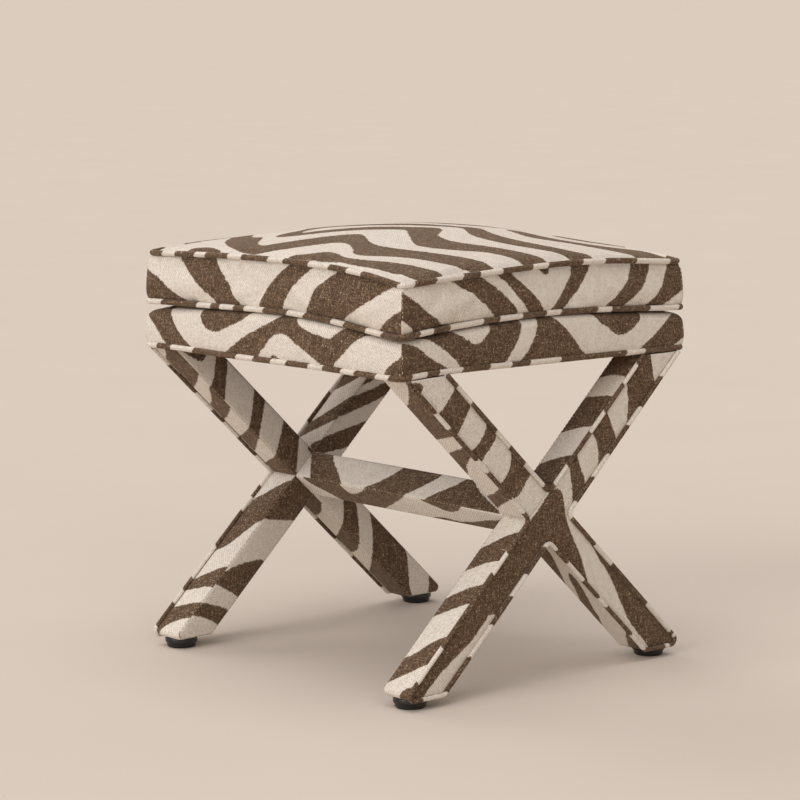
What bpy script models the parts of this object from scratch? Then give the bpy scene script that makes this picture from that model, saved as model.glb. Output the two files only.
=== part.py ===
# Upholstered x-frame stool: a loose box cushion on a square seat deck, carried by two X frames of
# half-lapped wooden bars that a stretcher joins, all covered in woven cloth, on four screw-in glides.
# Units are metres. +Z is up, the frames stand in planes of constant Y, and the floor is at Z = 0.

import math

import bmesh
import bpy
from mathutils import Matrix, Vector

# Seat sizes
SEAT_SIDE = 0.470               # over the welts, both ways
SEAT_WELT_DIAMETER = 0.008
SEAT_WELT_PROUD = 0.003         # how far a seat welt stands out from the boxing
SEAT_WELT_CORNER = 0.008        # bend of a seat welt round the seat's corner, at its centre line
DECK_BASE_HEIGHT = 0.374        # underside of the seat rails
RAIL_WIDTH = 0.040
RAIL_HEIGHT = 0.022
DECK_BOARD_THICKNESS = 0.009
DECK_FOAM_THICKNESS = 0.0135
DECK_EDGE_RADIUS = 0.009        # soft rolled edge at the top of the deck
DECK_SIDE_RISE = 0.010          # the padding is this much higher along its sides' middles than at its corners
DUST_COVER_THICKNESS = 0.0008
DUST_COVER_MARGIN = 0.012       # bare rail left round the dust cover

# Box cushion sizes
CUSHION_BOX_DEPTH = 0.0570      # between the two welts at a corner
CUSHION_SIDE_RISE = 0.011       # the top welt is this much higher at the middle of a side
CUSHION_SIDE_DIP = 0.0045       # the bottom welt is this much closer to the deck at the middle of a side
CUSHION_SIDE_DRAW = 0.004       # the sides are drawn in by this at their middle
CUSHION_BOX_BULGE = 0.003       # the boxing swells out by this between its welts
CUSHION_CROWN = 0.021           # stuffing of the top panel
CUSHION_BELLY = 0.020           # stuffing of the bottom panel, flat where it rests on the deck
SEAT_STEPS = 10                 # grid steps along one side of the cushion and of the deck's padding

# X frame sizes
FOOT_HEIGHT = 0.0135            # underside of the clothed foot
LEG_TOP_SET_IN = 0.0472         # middle of a leg's top, in from the seat's side
FOOT_SET_IN = 0.0360            # middle of a foot, in from the seat's side
LEG_FACE = 0.042                # clothed leg, across its outer face
FRAME_DEPTH = 0.045             # clothed leg, from outer to inner face
FRAME_SET_IN = 0.0015           # outer face of the frame, behind the seat's side
FRAME_WELT_DIAMETER = 0.0055
TOE_RADIUS = 0.0045             # round of the bar's toe
NOTCH_RADIUS = 0.008            # bend of the welt in the crossing's corners, at the bar's edge
HEEL_RADIUS = 0.002             # bend of the welt at the heel, at the bar's edge
ARC_STEPS = 4                   # straight steps in one rounded corner

# Cloth and fits
CLOTH = 0.0012
FIT_GAP = 0.0003

# Glides and their threaded inserts
GLIDE_DIAMETER = 0.040
GLIDE_BASE_DIAMETER = 0.036
GLIDE_COLLAR_HEIGHT = 0.007
GLIDE_EDGE = 0.001              # eased edges of the glide
STEM_DIAMETER = 0.006
STEM_REACH = 0.018              # stem above the foot's underside
INSERT_BARREL_DIAMETER = 0.010
INSERT_BARREL_LENGTH = 0.009
INSERT_FLANGE_DIAMETER = 0.019
INSERT_FLANGE_THICKNESS = 0.0015
BORE_CLEARANCE = 0.0004         # round a stem, a barrel or a bolt

# Bolts
SEAT_BOLT_DIAMETER = 0.006
SEAT_BOLT_HEAD_DIAMETER = 0.014
SEAT_BOLT_HEAD_HEIGHT = 0.004
SEAT_BOLT_REACH = 0.018         # into the top of a leg
STRETCHER_BOLT_DIAMETER = 0.008
STRETCHER_BOLT_HEAD_DIAMETER = 0.016
STRETCHER_BOLT_HEAD_HEIGHT = 0.005
STRETCHER_BOLT_REACH = 0.045    # into the end of the stretcher

GLIDE_TURN_STEPS = 24
BOLT_TURN_STEPS = 12
TUBE_BEVEL_RESOLUTION = 1       # six sides on a welt

# Sizes that follow from the ones above
SEAT_HALF = SEAT_SIDE / 2
SEAT_WELT_RADIUS = SEAT_WELT_DIAMETER / 2
SEAT_WELT_HALF = SEAT_HALF - SEAT_WELT_RADIUS
BOXING_HALF = SEAT_HALF - SEAT_WELT_PROUD
WELT_CORNER_CUT = (SEAT_WELT_CORNER - SEAT_WELT_RADIUS - FIT_GAP) * (1 - math.sqrt(0.5))
INSIDE_WELT_HALF = SEAT_HALF - SEAT_WELT_DIAMETER - FIT_GAP
RAIL_HALF = INSIDE_WELT_HALF - WELT_CORNER_CUT
RAIL_TOP = DECK_BASE_HEIGHT + RAIL_HEIGHT
BOARD_BASE = RAIL_TOP + FIT_GAP
BOARD_TOP = BOARD_BASE + DECK_BOARD_THICKNESS
DECK_FOAM_BASE = BOARD_TOP + FIT_GAP
DECK_FOAM_TOP = DECK_FOAM_BASE + DECK_FOAM_THICKNESS
DECK_TOP = DECK_FOAM_TOP + FIT_GAP + CLOTH

SKIN = CLOTH + FIT_GAP          # cloth and the gap under it
BAR_FACE = LEG_FACE - 2 * SKIN
BAR_DEPTH = FRAME_DEPTH - 2 * SKIN
LEG_TOP = DECK_BASE_HEIGHT - FIT_GAP
SEAT_BOLT_X = SEAT_HALF - LEG_TOP_SET_IN
GLIDE_X = SEAT_HALF - FOOT_SET_IN
LEG_SLOPE = math.atan2(LEG_TOP - FOOT_HEIGHT, SEAT_BOLT_X + GLIDE_X)
CROSSING_HEIGHT = FOOT_HEIGHT + GLIDE_X * math.tan(LEG_SLOPE)
SINE = math.sin(LEG_SLOPE)
COSINE = math.cos(LEG_SLOPE)
FRAME_WELT_RADIUS = FRAME_WELT_DIAMETER / 2
FRAME_WELT_OFFSET = (FRAME_WELT_RADIUS + 2 * FIT_GAP) / math.sqrt(2)
PANEL_SET_BACK = FRAME_WELT_OFFSET - FRAME_WELT_RADIUS - FIT_GAP
STRETCHER_END = SEAT_HALF - FRAME_SET_IN - FRAME_DEPTH - FIT_GAP
LEG_MIDDLE_Y = SEAT_HALF - FRAME_SET_IN - FRAME_DEPTH / 2
SIDE_SIGNS = {"near": -1, "far": 1}


def clear_scene():
    for old in list(bpy.data.objects):
        bpy.data.objects.remove(old, do_unlink=True)


def new_collection(name):
    made = bpy.data.collections.new(name)
    bpy.context.scene.collection.children.link(made)
    return made


def principled(name, colour, roughness, metallic=0.0):
    made = bpy.data.materials.new(name)
    made.use_nodes = True
    shader = made.node_tree.nodes["Principled BSDF"]
    shader.inputs["Base Color"].default_value = (*colour, 1.0)
    shader.inputs["Roughness"].default_value = roughness
    shader.inputs["Metallic"].default_value = metallic
    return made


clear_scene()
PARTS = new_collection("x_frame_stool")
CUTTERS = new_collection("cutters")
STRIPED_CLOTH = principled("striped_cloth", (0.42, 0.35, 0.28), 0.9)
DECK_CLOTH = principled("deck_cloth", (0.66, 0.61, 0.52), 0.9)
BLACK_CLOTH = principled("dust_cover_cloth", (0.03, 0.03, 0.03), 0.95)
FOAM = principled("foam", (0.86, 0.82, 0.68), 0.9)
HARDWOOD = principled("hardwood", (0.55, 0.38, 0.22), 0.6)
PLYWOOD = principled("plywood", (0.70, 0.55, 0.36), 0.65)
ZINCED_STEEL = principled("zinced_steel", (0.62, 0.63, 0.64), 0.35, 1.0)
BLACK_PLASTIC = principled("black_plastic", (0.012, 0.012, 0.011), 0.45)


def add_part(made, material, parent=None):
    made.data.materials.clear()
    made.data.materials.append(material)
    PARTS.objects.link(made)
    made.parent = parent
    return made


def add_cutter(made):
    made.hide_render = True
    made.display_type = "WIRE"
    CUTTERS.objects.link(made)
    return made


def cut(target, cutter):
    made = target.modifiers.new("cut_" + cutter.name, "BOOLEAN")
    made.operation = "DIFFERENCE"
    made.object = cutter


def object_from_bmesh(name, bm):
    mesh = bpy.data.meshes.new(name)
    bmesh.ops.recalc_face_normals(bm, faces=bm.faces)
    bm.to_mesh(mesh)
    bm.free()
    return bpy.data.objects.new(name, mesh)


def block(name, low, high):
    low = Vector(low)
    high = Vector(high)
    bm = bmesh.new()
    bmesh.ops.create_cube(bm, size=1.0)
    bmesh.ops.scale(bm, vec=high - low, verts=bm.verts)
    bmesh.ops.translate(bm, vec=(low + high) / 2, verts=bm.verts)
    return object_from_bmesh(name, bm)


# A flat outline in the XZ plane, given as one or more closed loops, thickened between two Y values
def plate(name, loops, y_one, y_other):
    curve = bpy.data.curves.new(name + "_outline", "CURVE")
    curve.dimensions = "2D"
    curve.fill_mode = "BOTH"
    curve.extrude = abs(y_other - y_one) / 2
    for loop in loops:
        spline = curve.splines.new("POLY")
        spline.points.add(len(loop) - 1)
        for point, (x, z) in zip(spline.points, loop):
            point.co = (x, z, 0.0, 1.0)
        spline.use_cyclic_u = True
    outline = bpy.data.objects.new(name + "_outline", curve)
    PARTS.objects.link(outline)
    evaluated = outline.evaluated_get(bpy.context.evaluated_depsgraph_get())
    mesh = bpy.data.meshes.new_from_object(evaluated)
    bpy.data.objects.remove(outline, do_unlink=True)
    bm = bmesh.new()
    bm.from_mesh(mesh)
    bpy.data.meshes.remove(mesh)
    bmesh.ops.remove_doubles(bm, verts=bm.verts, dist=1e-6)
    bmesh.ops.transform(bm, matrix=Matrix.Rotation(math.radians(90), 4, "X"), verts=bm.verts)
    bmesh.ops.translate(bm, vec=(0.0, (y_one + y_other) / 2, 0.0), verts=bm.verts)
    return object_from_bmesh(name, bm)


# A turned shape: (radius, height) points down its outer side, closed if it is a ring
def turned(name, profile, steps, ring=False):
    bm = bmesh.new()
    points = [bm.verts.new((radius, 0.0, height)) for radius, height in profile]
    for upper, lower in zip(points, points[1:]):
        bm.edges.new((upper, lower))
    if ring:
        bm.edges.new((points[-1], points[0]))
    mesh = bpy.data.meshes.new(name)
    bm.to_mesh(mesh)
    bm.free()
    made = bpy.data.objects.new(name, mesh)
    turn = made.modifiers.new("turn", "SCREW")
    turn.axis = "Z"
    turn.steps = steps
    turn.render_steps = steps
    turn.use_merge_vertices = True
    turn.merge_threshold = 0.00001
    turn.use_smooth_shade = False
    return made


# A cord of round section along points, as a welt is
def cord(name, points, radius, closed=False):
    curve = bpy.data.curves.new(name, "CURVE")
    curve.dimensions = "3D"
    curve.bevel_depth = radius
    curve.bevel_resolution = TUBE_BEVEL_RESOLUTION
    curve.use_fill_caps = not closed
    spline = curve.splines.new("POLY")
    spline.points.add(len(points) - 1)
    for point, place in zip(spline.points, points):
        point.co = (*place, 1.0)
    spline.use_cyclic_u = closed
    return bpy.data.objects.new(name, curve)


# An open grid of points, place(u, v) for u and v from -1 to 1, thickened to the cloth on its inner side
def cloth_sheet(name, u_values, v_values, place, inward):
    bm = bmesh.new()
    bmesh.ops.create_grid(bm, x_segments=len(u_values) - 1, y_segments=len(v_values) - 1, size=1.0)
    for vert in bm.verts:
        column = round((vert.co.x + 1) / 2 * (len(u_values) - 1))
        row = round((vert.co.y + 1) / 2 * (len(v_values) - 1))
        vert.co = place(u_values[column], v_values[row])
    bmesh.ops.triangulate(bm, faces=bm.faces, quad_method="SHORT_EDGE")
    bm.normal_update()
    faces = list(bm.faces)
    middle = faces[len(faces) // 2]
    if middle.normal.dot(Vector(inward)) > 0:
        bmesh.ops.reverse_faces(bm, faces=faces)
    mesh = bpy.data.meshes.new(name)
    bm.to_mesh(mesh)
    bm.free()
    made = bpy.data.objects.new(name, mesh)
    thicken = made.modifiers.new("thickness", "SOLIDIFY")
    thicken.thickness = CLOTH
    thicken.offset = -1.0
    thicken.use_even_offset = True
    return made


def spread(steps):
    return [-1 + 2 * step / steps for step in range(steps + 1)]


# Corner points, each (x, z, radius), turned into points with the corners rounded
def rounded(corners, closed):
    points = []
    count = len(corners)
    for index, (x, z, radius) in enumerate(corners):
        at_end = not closed and index in (0, count - 1)
        if at_end or radius <= 0:
            points.append((x, z))
            continue
        here = Vector((x, z))
        before = (Vector(corners[index - 1][:2]) - here).normalized()
        after = (Vector(corners[(index + 1) % count][:2]) - here).normalized()
        half_angle = before.angle(after) / 2
        centre = here + (before + after).normalized() * radius / math.sin(half_angle)
        first = here + before * radius / math.tan(half_angle)
        sweep = math.pi - 2 * half_angle
        turn = math.copysign(1, before.cross(after))
        arm = first - centre
        for step in range(ARC_STEPS + 1):
            angle = -turn * sweep * step / ARC_STEPS
            swung = Matrix.Rotation(angle, 2) @ arm
            points.append(tuple(centre + swung))
    return points


# X frame outline, offset outwards from the bars by a distance

# Place on the rising leg at a height, a distance to the upper left of its centre line
def rising_x(height, across):
    return (COSINE * (height - CROSSING_HEIGHT) - across) / SINE


def mirrored(points):
    return [(-x, *rest) for x, *rest in points]


def foot_bottom(offset):
    return FOOT_HEIGHT + SKIN - offset


# Corners down the left side: leg top, crossing, toe and heel
def left_run(offset, top, notch_radius=0.0, toe_radius=0.0, heel_radius=0.0):
    half = BAR_FACE / 2 + offset
    bottom = foot_bottom(offset)
    return [
        (-rising_x(top, -half), top, 0.0),
        (-half / SINE, CROSSING_HEIGHT, notch_radius),
        (rising_x(bottom, half), bottom, toe_radius),
        (rising_x(bottom, -half), bottom, heel_radius),
    ]


def bottom_corner(offset, notch_radius=0.0):
    half = BAR_FACE / 2 + offset
    return (0.0, CROSSING_HEIGHT - half / COSINE, notch_radius)


# Corners of the upper V, from the left leg's top to the right leg's top
def top_run(offset, top, notch_radius=0.0):
    half = BAR_FACE / 2 + offset
    return [
        (-rising_x(top, half), top, 0.0),
        (0.0, CROSSING_HEIGHT + half / COSINE, notch_radius),
        (rising_x(top, half), top, 0.0),
    ]


def radii_at(offset):
    return {
        "notch_radius": NOTCH_RADIUS - offset,
        "toe_radius": TOE_RADIUS + offset,
        "heel_radius": HEEL_RADIUS + offset,
    }


# All corners round both feet, from the left leg's top to the right leg's top
def outer_run(offset, top, radii):
    left = left_run(offset, top, **radii)
    right = list(reversed(mirrored(left)))
    return left + [bottom_corner(offset, radii["notch_radius"])] + right


def frame_outline(offset, radii):
    upper = list(reversed(top_run(offset, LEG_TOP, radii["notch_radius"])))
    return rounded(outer_run(offset, LEG_TOP, radii) + upper, closed=True)


# A strip of cloth that follows a run of corners, between the bar and the strip's outside
def strip_loop(run_at):
    inner = rounded(run_at(FIT_GAP), closed=False)
    outer = rounded(run_at(SKIN), closed=False)
    return inner + list(reversed(outer))


# Strip from a leg's top, past the crossing and round the toe, ending just short of the heel
def side_strip_run(offset):
    run = left_run(offset, LEG_TOP, toe_radius=TOE_RADIUS + offset)
    heel_x, heel_z, _ = run[-1]
    run[-1] = (heel_x - FIT_GAP, heel_z, 0.0)
    return run


def bottom_strip_run(offset):
    heel = left_run(offset, LEG_TOP)[-1]
    return [heel, bottom_corner(offset), (-heel[0], heel[1], 0.0)]


def top_strip_run(offset):
    return top_run(offset, LEG_TOP)


# Depth into a frame, measured from its outer cloth face, as a Y value
def frame_y(sign, depth):
    return sign * (SEAT_HALF - FRAME_SET_IN - depth)


# Glides, their inserts and the bores that take them

def glide_profile():
    collar = GLIDE_DIAMETER / 2
    base = GLIDE_BASE_DIAMETER / 2
    stem = STEM_DIAMETER / 2
    top = FOOT_HEIGHT - FIT_GAP
    waist = top - GLIDE_COLLAR_HEIGHT
    return [
        (0.0, FOOT_HEIGHT + STEM_REACH),
        (stem - GLIDE_EDGE, FOOT_HEIGHT + STEM_REACH),
        (stem, FOOT_HEIGHT + STEM_REACH - GLIDE_EDGE),
        (stem, top),
        (collar - GLIDE_EDGE, top),
        (collar, top - GLIDE_EDGE),
        (collar, waist + GLIDE_EDGE),
        (collar - GLIDE_EDGE, waist),
        (base, waist),
        (base, GLIDE_EDGE),
        (base - GLIDE_EDGE, 0.0),
        (0.0, 0.0),
    ]


INSERT_BASE = FOOT_HEIGHT + SKIN


def insert_profile():
    bore = STEM_DIAMETER / 2 + BORE_CLEARANCE
    barrel = INSERT_BARREL_DIAMETER / 2
    flange = INSERT_FLANGE_DIAMETER / 2
    flange_top = INSERT_BASE + INSERT_FLANGE_THICKNESS
    barrel_top = flange_top + INSERT_BARREL_LENGTH
    return [
        (bore, barrel_top),
        (barrel, barrel_top),
        (barrel, flange_top),
        (flange, flange_top),
        (flange, INSERT_BASE),
        (bore, INSERT_BASE),
    ]


def insert_bore_profile():
    stem = STEM_DIAMETER / 2 + BORE_CLEARANCE
    barrel = INSERT_BARREL_DIAMETER / 2 + FIT_GAP
    flange = INSERT_FLANGE_DIAMETER / 2 + FIT_GAP
    flange_top = INSERT_BASE + INSERT_FLANGE_THICKNESS + FIT_GAP
    barrel_top = flange_top + INSERT_BARREL_LENGTH
    stem_top = FOOT_HEIGHT + STEM_REACH + BORE_CLEARANCE
    return [
        (0.0, stem_top),
        (stem, stem_top),
        (stem, barrel_top),
        (barrel, barrel_top),
        (barrel, flange_top),
        (flange, flange_top),
        (flange, INSERT_BASE - FIT_GAP / 2),
        (stem, INSERT_BASE - FIT_GAP / 2),
        (stem, FOOT_HEIGHT - FIT_GAP),
        (0.0, FOOT_HEIGHT - FIT_GAP),
    ]


def bolt_profile(diameter, head_diameter, head_height, length):
    shaft = diameter / 2
    head = head_diameter / 2
    return [
        (0.0, head_height),
        (head, head_height),
        (head, 0.0),
        (shaft, 0.0),
        (shaft, -length + shaft),
        (shaft / 2, -length),
        (0.0, -length),
    ]


# Bore for a bolt, with its head's recess carried on past the head by a distance
def bolt_bore_profile(diameter, head_diameter, head_height, length, past):
    shaft = diameter / 2 + BORE_CLEARANCE
    head = head_diameter / 2 + BORE_CLEARANCE
    return [
        (0.0, head_height + past),
        (head, head_height + past),
        (head, -FIT_GAP),
        (shaft, -FIT_GAP),
        (shaft, -length - BORE_CLEARANCE),
        (0.0, -length - BORE_CLEARANCE),
    ]


# Seat bolts: the head is flush with the rail's top, the shaft goes down into the leg
SEAT_BOLT_SEAT = RAIL_TOP - SEAT_BOLT_HEAD_HEIGHT
SEAT_BOLT_LENGTH = SEAT_BOLT_SEAT - LEG_TOP + SEAT_BOLT_REACH

# Stretcher bolts: the head is flush with the outer bar, the shaft goes through into the stretcher's end
STRETCHER_BOLT_SEAT = SEAT_HALF - FRAME_SET_IN - SKIN - STRETCHER_BOLT_HEAD_HEIGHT
STRETCHER_BOLT_LENGTH = STRETCHER_BOLT_SEAT - STRETCHER_END + STRETCHER_BOLT_REACH


def make_glide(name, x, y):
    glide = add_part(turned("glide_" + name, glide_profile(), GLIDE_TURN_STEPS), BLACK_PLASTIC)
    glide.location = (x, y, 0.0)
    insert = turned("glide_insert_" + name, insert_profile(), BOLT_TURN_STEPS, ring=True)
    add_part(insert, ZINCED_STEEL)
    insert.location = (x, y, 0.0)
    bore = add_cutter(turned("glide_bore_" + name, insert_bore_profile(), BOLT_TURN_STEPS))
    bore.location = (x, y, 0.0)
    return bore


def make_seat_bolt(name, x, y):
    sizes = (SEAT_BOLT_DIAMETER, SEAT_BOLT_HEAD_DIAMETER, SEAT_BOLT_HEAD_HEIGHT, SEAT_BOLT_LENGTH)
    bolt = add_part(turned("seat_bolt_" + name, bolt_profile(*sizes), BOLT_TURN_STEPS), ZINCED_STEEL)
    bolt.location = (x, y, SEAT_BOLT_SEAT)
    profile = bolt_bore_profile(*sizes, past=FIT_GAP / 2)
    bore = add_cutter(turned("seat_bolt_bore_" + name, profile, BOLT_TURN_STEPS))
    bore.location = (x, y, SEAT_BOLT_SEAT)
    return bore


def make_stretcher_bolt(side, sign):
    sizes = (
        STRETCHER_BOLT_DIAMETER,
        STRETCHER_BOLT_HEAD_DIAMETER,
        STRETCHER_BOLT_HEAD_HEIGHT,
        STRETCHER_BOLT_LENGTH,
    )
    bolt = turned("stretcher_bolt_" + side, bolt_profile(*sizes), BOLT_TURN_STEPS)
    add_part(bolt, ZINCED_STEEL)
    profile = bolt_bore_profile(*sizes, past=FIT_GAP / 2)
    bore = add_cutter(turned("stretcher_bolt_bore_" + side, profile, BOLT_TURN_STEPS))
    for made in (bolt, bore):
        made.location = (0.0, sign * STRETCHER_BOLT_SEAT, CROSSING_HEIGHT)
        made.rotation_euler = (-sign * math.radians(90), 0.0, 0.0)
    return bore


# Half lap: the room that one bar takes in the other, in the outer or the inner half of the depth
def lap_cutter(name, sign, slope, outer_half):
    middle = FRAME_DEPTH / 2
    depths = (middle - FIT_GAP / 2, 2 * FRAME_DEPTH)
    if outer_half:
        depths = (-FRAME_DEPTH, middle + FIT_GAP / 2)
    y_low, y_high = sorted(frame_y(sign, depth) for depth in depths)
    half_width = BAR_FACE / 2 + FIT_GAP
    length = 2 * LEG_FACE
    made = add_cutter(block(name, (-length, y_low, -half_width), (length, y_high, half_width)))
    made.location = (0.0, 0.0, CROSSING_HEIGHT)
    made.rotation_euler = (0.0, -slope, 0.0)
    return made


def bar_outline():
    half = BAR_FACE / 2
    bottom = foot_bottom(0.0)
    corners = [
        (rising_x(bottom, half), bottom, TOE_RADIUS),
        (rising_x(bottom, -half), bottom, 0.0),
        (rising_x(LEG_TOP, -half), LEG_TOP, 0.0),
        (rising_x(LEG_TOP, half), LEG_TOP, 0.0),
    ]
    return rounded(corners, closed=True)


def make_bars(side, sign, bores):
    y_range = (frame_y(sign, SKIN), frame_y(sign, SKIN + BAR_DEPTH))
    rising = add_part(plate(side + "_rising_leg", [bar_outline()], *y_range), HARDWOOD)
    falling = add_part(plate(side + "_falling_leg", [mirrored(bar_outline())], *y_range), HARDWOOD)
    cut(rising, lap_cutter(side + "_inner_lap", sign, -LEG_SLOPE, outer_half=False))
    cut(falling, lap_cutter(side + "_outer_lap", sign, LEG_SLOPE, outer_half=True))
    cut(rising, bores["glide_left"])
    cut(falling, bores["glide_right"])
    cut(rising, bores["seat_right"])
    cut(falling, bores["seat_left"])
    for bar in (rising, falling):
        cut(bar, bores["stretcher"])


def make_frame_cloth(side, sign, bores):
    outer = plate(
        side + "_outer_panel",
        [frame_outline(PANEL_SET_BACK, radii_at(PANEL_SET_BACK))],
        frame_y(sign, 0.0),
        frame_y(sign, CLOTH),
    )
    add_part(outer, STRIPED_CLOTH)
    sharp = {"notch_radius": 0.0, "toe_radius": TOE_RADIUS + SKIN, "heel_radius": 0.0}
    inner = plate(
        side + "_inner_panel",
        [frame_outline(SKIN, sharp)],
        frame_y(sign, FRAME_DEPTH - CLOTH),
        frame_y(sign, FRAME_DEPTH),
    )
    add_part(inner, STRIPED_CLOTH)
    cut(inner, bores["stretcher"])
    strip_y = (frame_y(sign, SKIN - PANEL_SET_BACK), frame_y(sign, SKIN + BAR_DEPTH))
    loops = {
        "left": strip_loop(side_strip_run),
        "right": mirrored(strip_loop(side_strip_run)),
        "top": strip_loop(top_strip_run),
        "bottom": strip_loop(bottom_strip_run),
    }
    for place, loop in loops.items():
        strip = add_part(plate(side + "_" + place + "_strip", [loop], *strip_y), STRIPED_CLOTH)
        if place in ("left", "right"):
            cut(strip, bores["glide_" + place])


def make_frame_welts(side, sign):
    y = frame_y(sign, SKIN - FRAME_WELT_OFFSET)
    top = LEG_TOP - FRAME_WELT_RADIUS
    radii = radii_at(FRAME_WELT_OFFSET)
    runs = {
        "_outer_welt": outer_run(FRAME_WELT_OFFSET, top, radii),
        "_top_welt": top_run(FRAME_WELT_OFFSET, top, radii["notch_radius"]),
    }
    for name, run in runs.items():
        points = [(x, y, z) for x, z in rounded(run, closed=False)]
        add_part(cord(side + name, points, FRAME_WELT_RADIUS), STRIPED_CLOTH)


# The stretcher stands on edge and fills the diamond where the legs cross
def diamond(inset):
    half = LEG_FACE / 2 - inset
    across = half / SINE
    upright = half / COSINE
    return [
        (-across, CROSSING_HEIGHT),
        (0.0, CROSSING_HEIGHT - upright),
        (across, CROSSING_HEIGHT),
        (0.0, CROSSING_HEIGHT + upright),
    ]


def make_stretcher(bores):
    bar = add_part(plate("stretcher_bar", [diamond(SKIN)], -STRETCHER_END, STRETCHER_END), HARDWOOD)
    for bore in bores:
        cut(bar, bore)
    sleeve_loops = [diamond(0.0), diamond(CLOTH)]
    add_part(plate("stretcher_sleeve", sleeve_loops, -STRETCHER_END, STRETCHER_END), STRIPED_CLOTH)


# Seat deck

# A point on one side of the seat: along it, in from it, and up
def on_side(side, along, inward_half, height):
    places = {
        "near": (along, -inward_half, height),
        "far": (along, inward_half, height),
        "left": (-inward_half, along, height),
        "right": (inward_half, along, height),
    }
    return places[side]


INWARD = {"near": (0, 1, 0), "far": (0, -1, 0), "left": (1, 0, 0), "right": (-1, 0, 0)}


# Closed path of a seat welt: height and inward pull are given along each side, from -1 to 1
def seat_welt_path(height_at, pull_at, steps):
    straight = SEAT_WELT_HALF - SEAT_WELT_CORNER
    points = []
    for quarter in range(4):
        turn = Matrix.Rotation(quarter * math.radians(90), 3, "Z")
        for step in range(steps + 1):
            along = -1 + 2 * step / steps
            place = Vector((along * straight, -SEAT_WELT_HALF + pull_at(along), height_at(along)))
            points.append(turn @ place)
        for step in range(1, ARC_STEPS):
            angle = math.radians(-90) * (1 - step / ARC_STEPS)
            reach = Vector((math.cos(angle), math.sin(angle), 0.0)) * SEAT_WELT_CORNER
            points.append(turn @ (Vector((straight, -straight, height_at(1.0))) + reach))
    return points


def make_rails(bores):
    between = RAIL_HALF - RAIL_WIDTH
    low = DECK_BASE_HEIGHT
    for side, sign in SIDE_SIGNS.items():
        y_low, y_high = sorted((sign * RAIL_HALF, sign * between))
        rail = block("rail_" + side, (-RAIL_HALF, y_low, low), (RAIL_HALF, y_high, RAIL_TOP))
        add_part(rail, HARDWOOD)
        cut(rail, bores[side]["seat_left"])
        cut(rail, bores[side]["seat_right"])
    for side, sign in (("left", -1), ("right", 1)):
        x_low, x_high = sorted((sign * RAIL_HALF, sign * between))
        end = between - FIT_GAP
        add_part(block("rail_" + side, (x_low, -end, low), (x_high, end, RAIL_TOP)), HARDWOOD)


# 1 at the middle of a side, 0 at its ends
def hump(along):
    return 1 - along * along


# How much higher the padded deck is at a place in plan than at its corners
def deck_rise(x, y):
    x_hump = hump(x / BOXING_HALF)
    y_hump = hump(y / BOXING_HALF)
    return DECK_SIDE_RISE * (x_hump + y_hump - x_hump * y_hump)


# The pad is a block with a gridded top, rolled at its top edges and then raised to the deck's crown
def make_deck_foam():
    half = BOXING_HALF - SKIN
    foam = block("deck_foam", (-half, -half, DECK_FOAM_BASE), (half, half, DECK_FOAM_TOP))
    bm = bmesh.new()
    bm.from_mesh(foam.data)
    level_edges = [edge for edge in bm.edges if abs(edge.verts[0].co.z - edge.verts[1].co.z) < FIT_GAP]
    bmesh.ops.subdivide_edges(bm, edges=level_edges, cuts=SEAT_STEPS - 1, use_grid_fill=True)
    middle = (DECK_FOAM_BASE + DECK_FOAM_TOP) / 2
    bm.normal_update()
    square_edges = [edge for edge in bm.edges if edge.calc_face_angle() > 1.0]
    top_edges = [edge for edge in square_edges if all(vert.co.z > middle for vert in edge.verts)]
    radius = DECK_EDGE_RADIUS - SKIN
    bmesh.ops.bevel(bm, geom=top_edges, offset=radius, segments=ARC_STEPS, profile=0.5, affect="EDGES")
    for vert in bm.verts:
        if vert.co.z > DECK_FOAM_BASE + FIT_GAP:
            vert.co.z += deck_rise(vert.co.x, vert.co.y)
    bmesh.ops.triangulate(bm, faces=bm.faces, quad_method="SHORT_EDGE")
    bm.to_mesh(foam.data)
    bm.free()
    add_part(foam, FOAM)


def make_deck_padding():
    board = block("deck_board", (-RAIL_HALF, -RAIL_HALF, BOARD_BASE), (RAIL_HALF, RAIL_HALF, BOARD_TOP))
    add_part(board, PLYWOOD)
    make_deck_foam()
    cloth_half = BOXING_HALF - DECK_EDGE_RADIUS - FIT_GAP

    def on_deck(u, v):
        x = u * cloth_half
        y = v * cloth_half
        return x, y, DECK_TOP + deck_rise(x, y)

    steps = spread(SEAT_STEPS)
    add_part(cloth_sheet("deck_top_cloth", steps, steps, on_deck, (0, 0, -1)), DECK_CLOTH)
    cover_top = DECK_BASE_HEIGHT - FIT_GAP
    cover_x = RAIL_HALF - DUST_COVER_MARGIN
    cover_y = STRETCHER_END
    cover = block(
        "dust_cover",
        (-cover_x, -cover_y, cover_top - DUST_COVER_THICKNESS),
        (cover_x, cover_y, cover_top),
    )
    add_part(cover, BLACK_CLOTH)


# Boxing of the deck: straight up from the welt, then rolled in over the soft top edge, which arches
def make_deck_boxing():
    base = DECK_BASE_HEIGHT + SEAT_WELT_DIAMETER + FIT_GAP
    profile = [(0.0, base)]
    for step in range(ARC_STEPS + 1):
        angle = math.radians(90) * step / ARC_STEPS
        inward = DECK_EDGE_RADIUS * (1 - math.cos(angle))
        height = DECK_TOP - DECK_EDGE_RADIUS * (1 - math.sin(angle))
        profile.append((inward, height))

    for side, inward_way in INWARD.items():
        def place(u, v):
            inward, height = profile[round((v + 1) / 2 * (len(profile) - 1))]
            along = u * (BOXING_HALF - inward - SKIN)
            x, y, z = on_side(side, along, BOXING_HALF - inward, height)
            return x, y, z + (deck_rise(x, y) if height > base else 0.0)

        rows = spread(len(profile) - 1)
        sheet = cloth_sheet("deck_boxing_" + side, spread(SEAT_STEPS), rows, place, inward_way)
        add_part(sheet, STRIPED_CLOTH)


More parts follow.
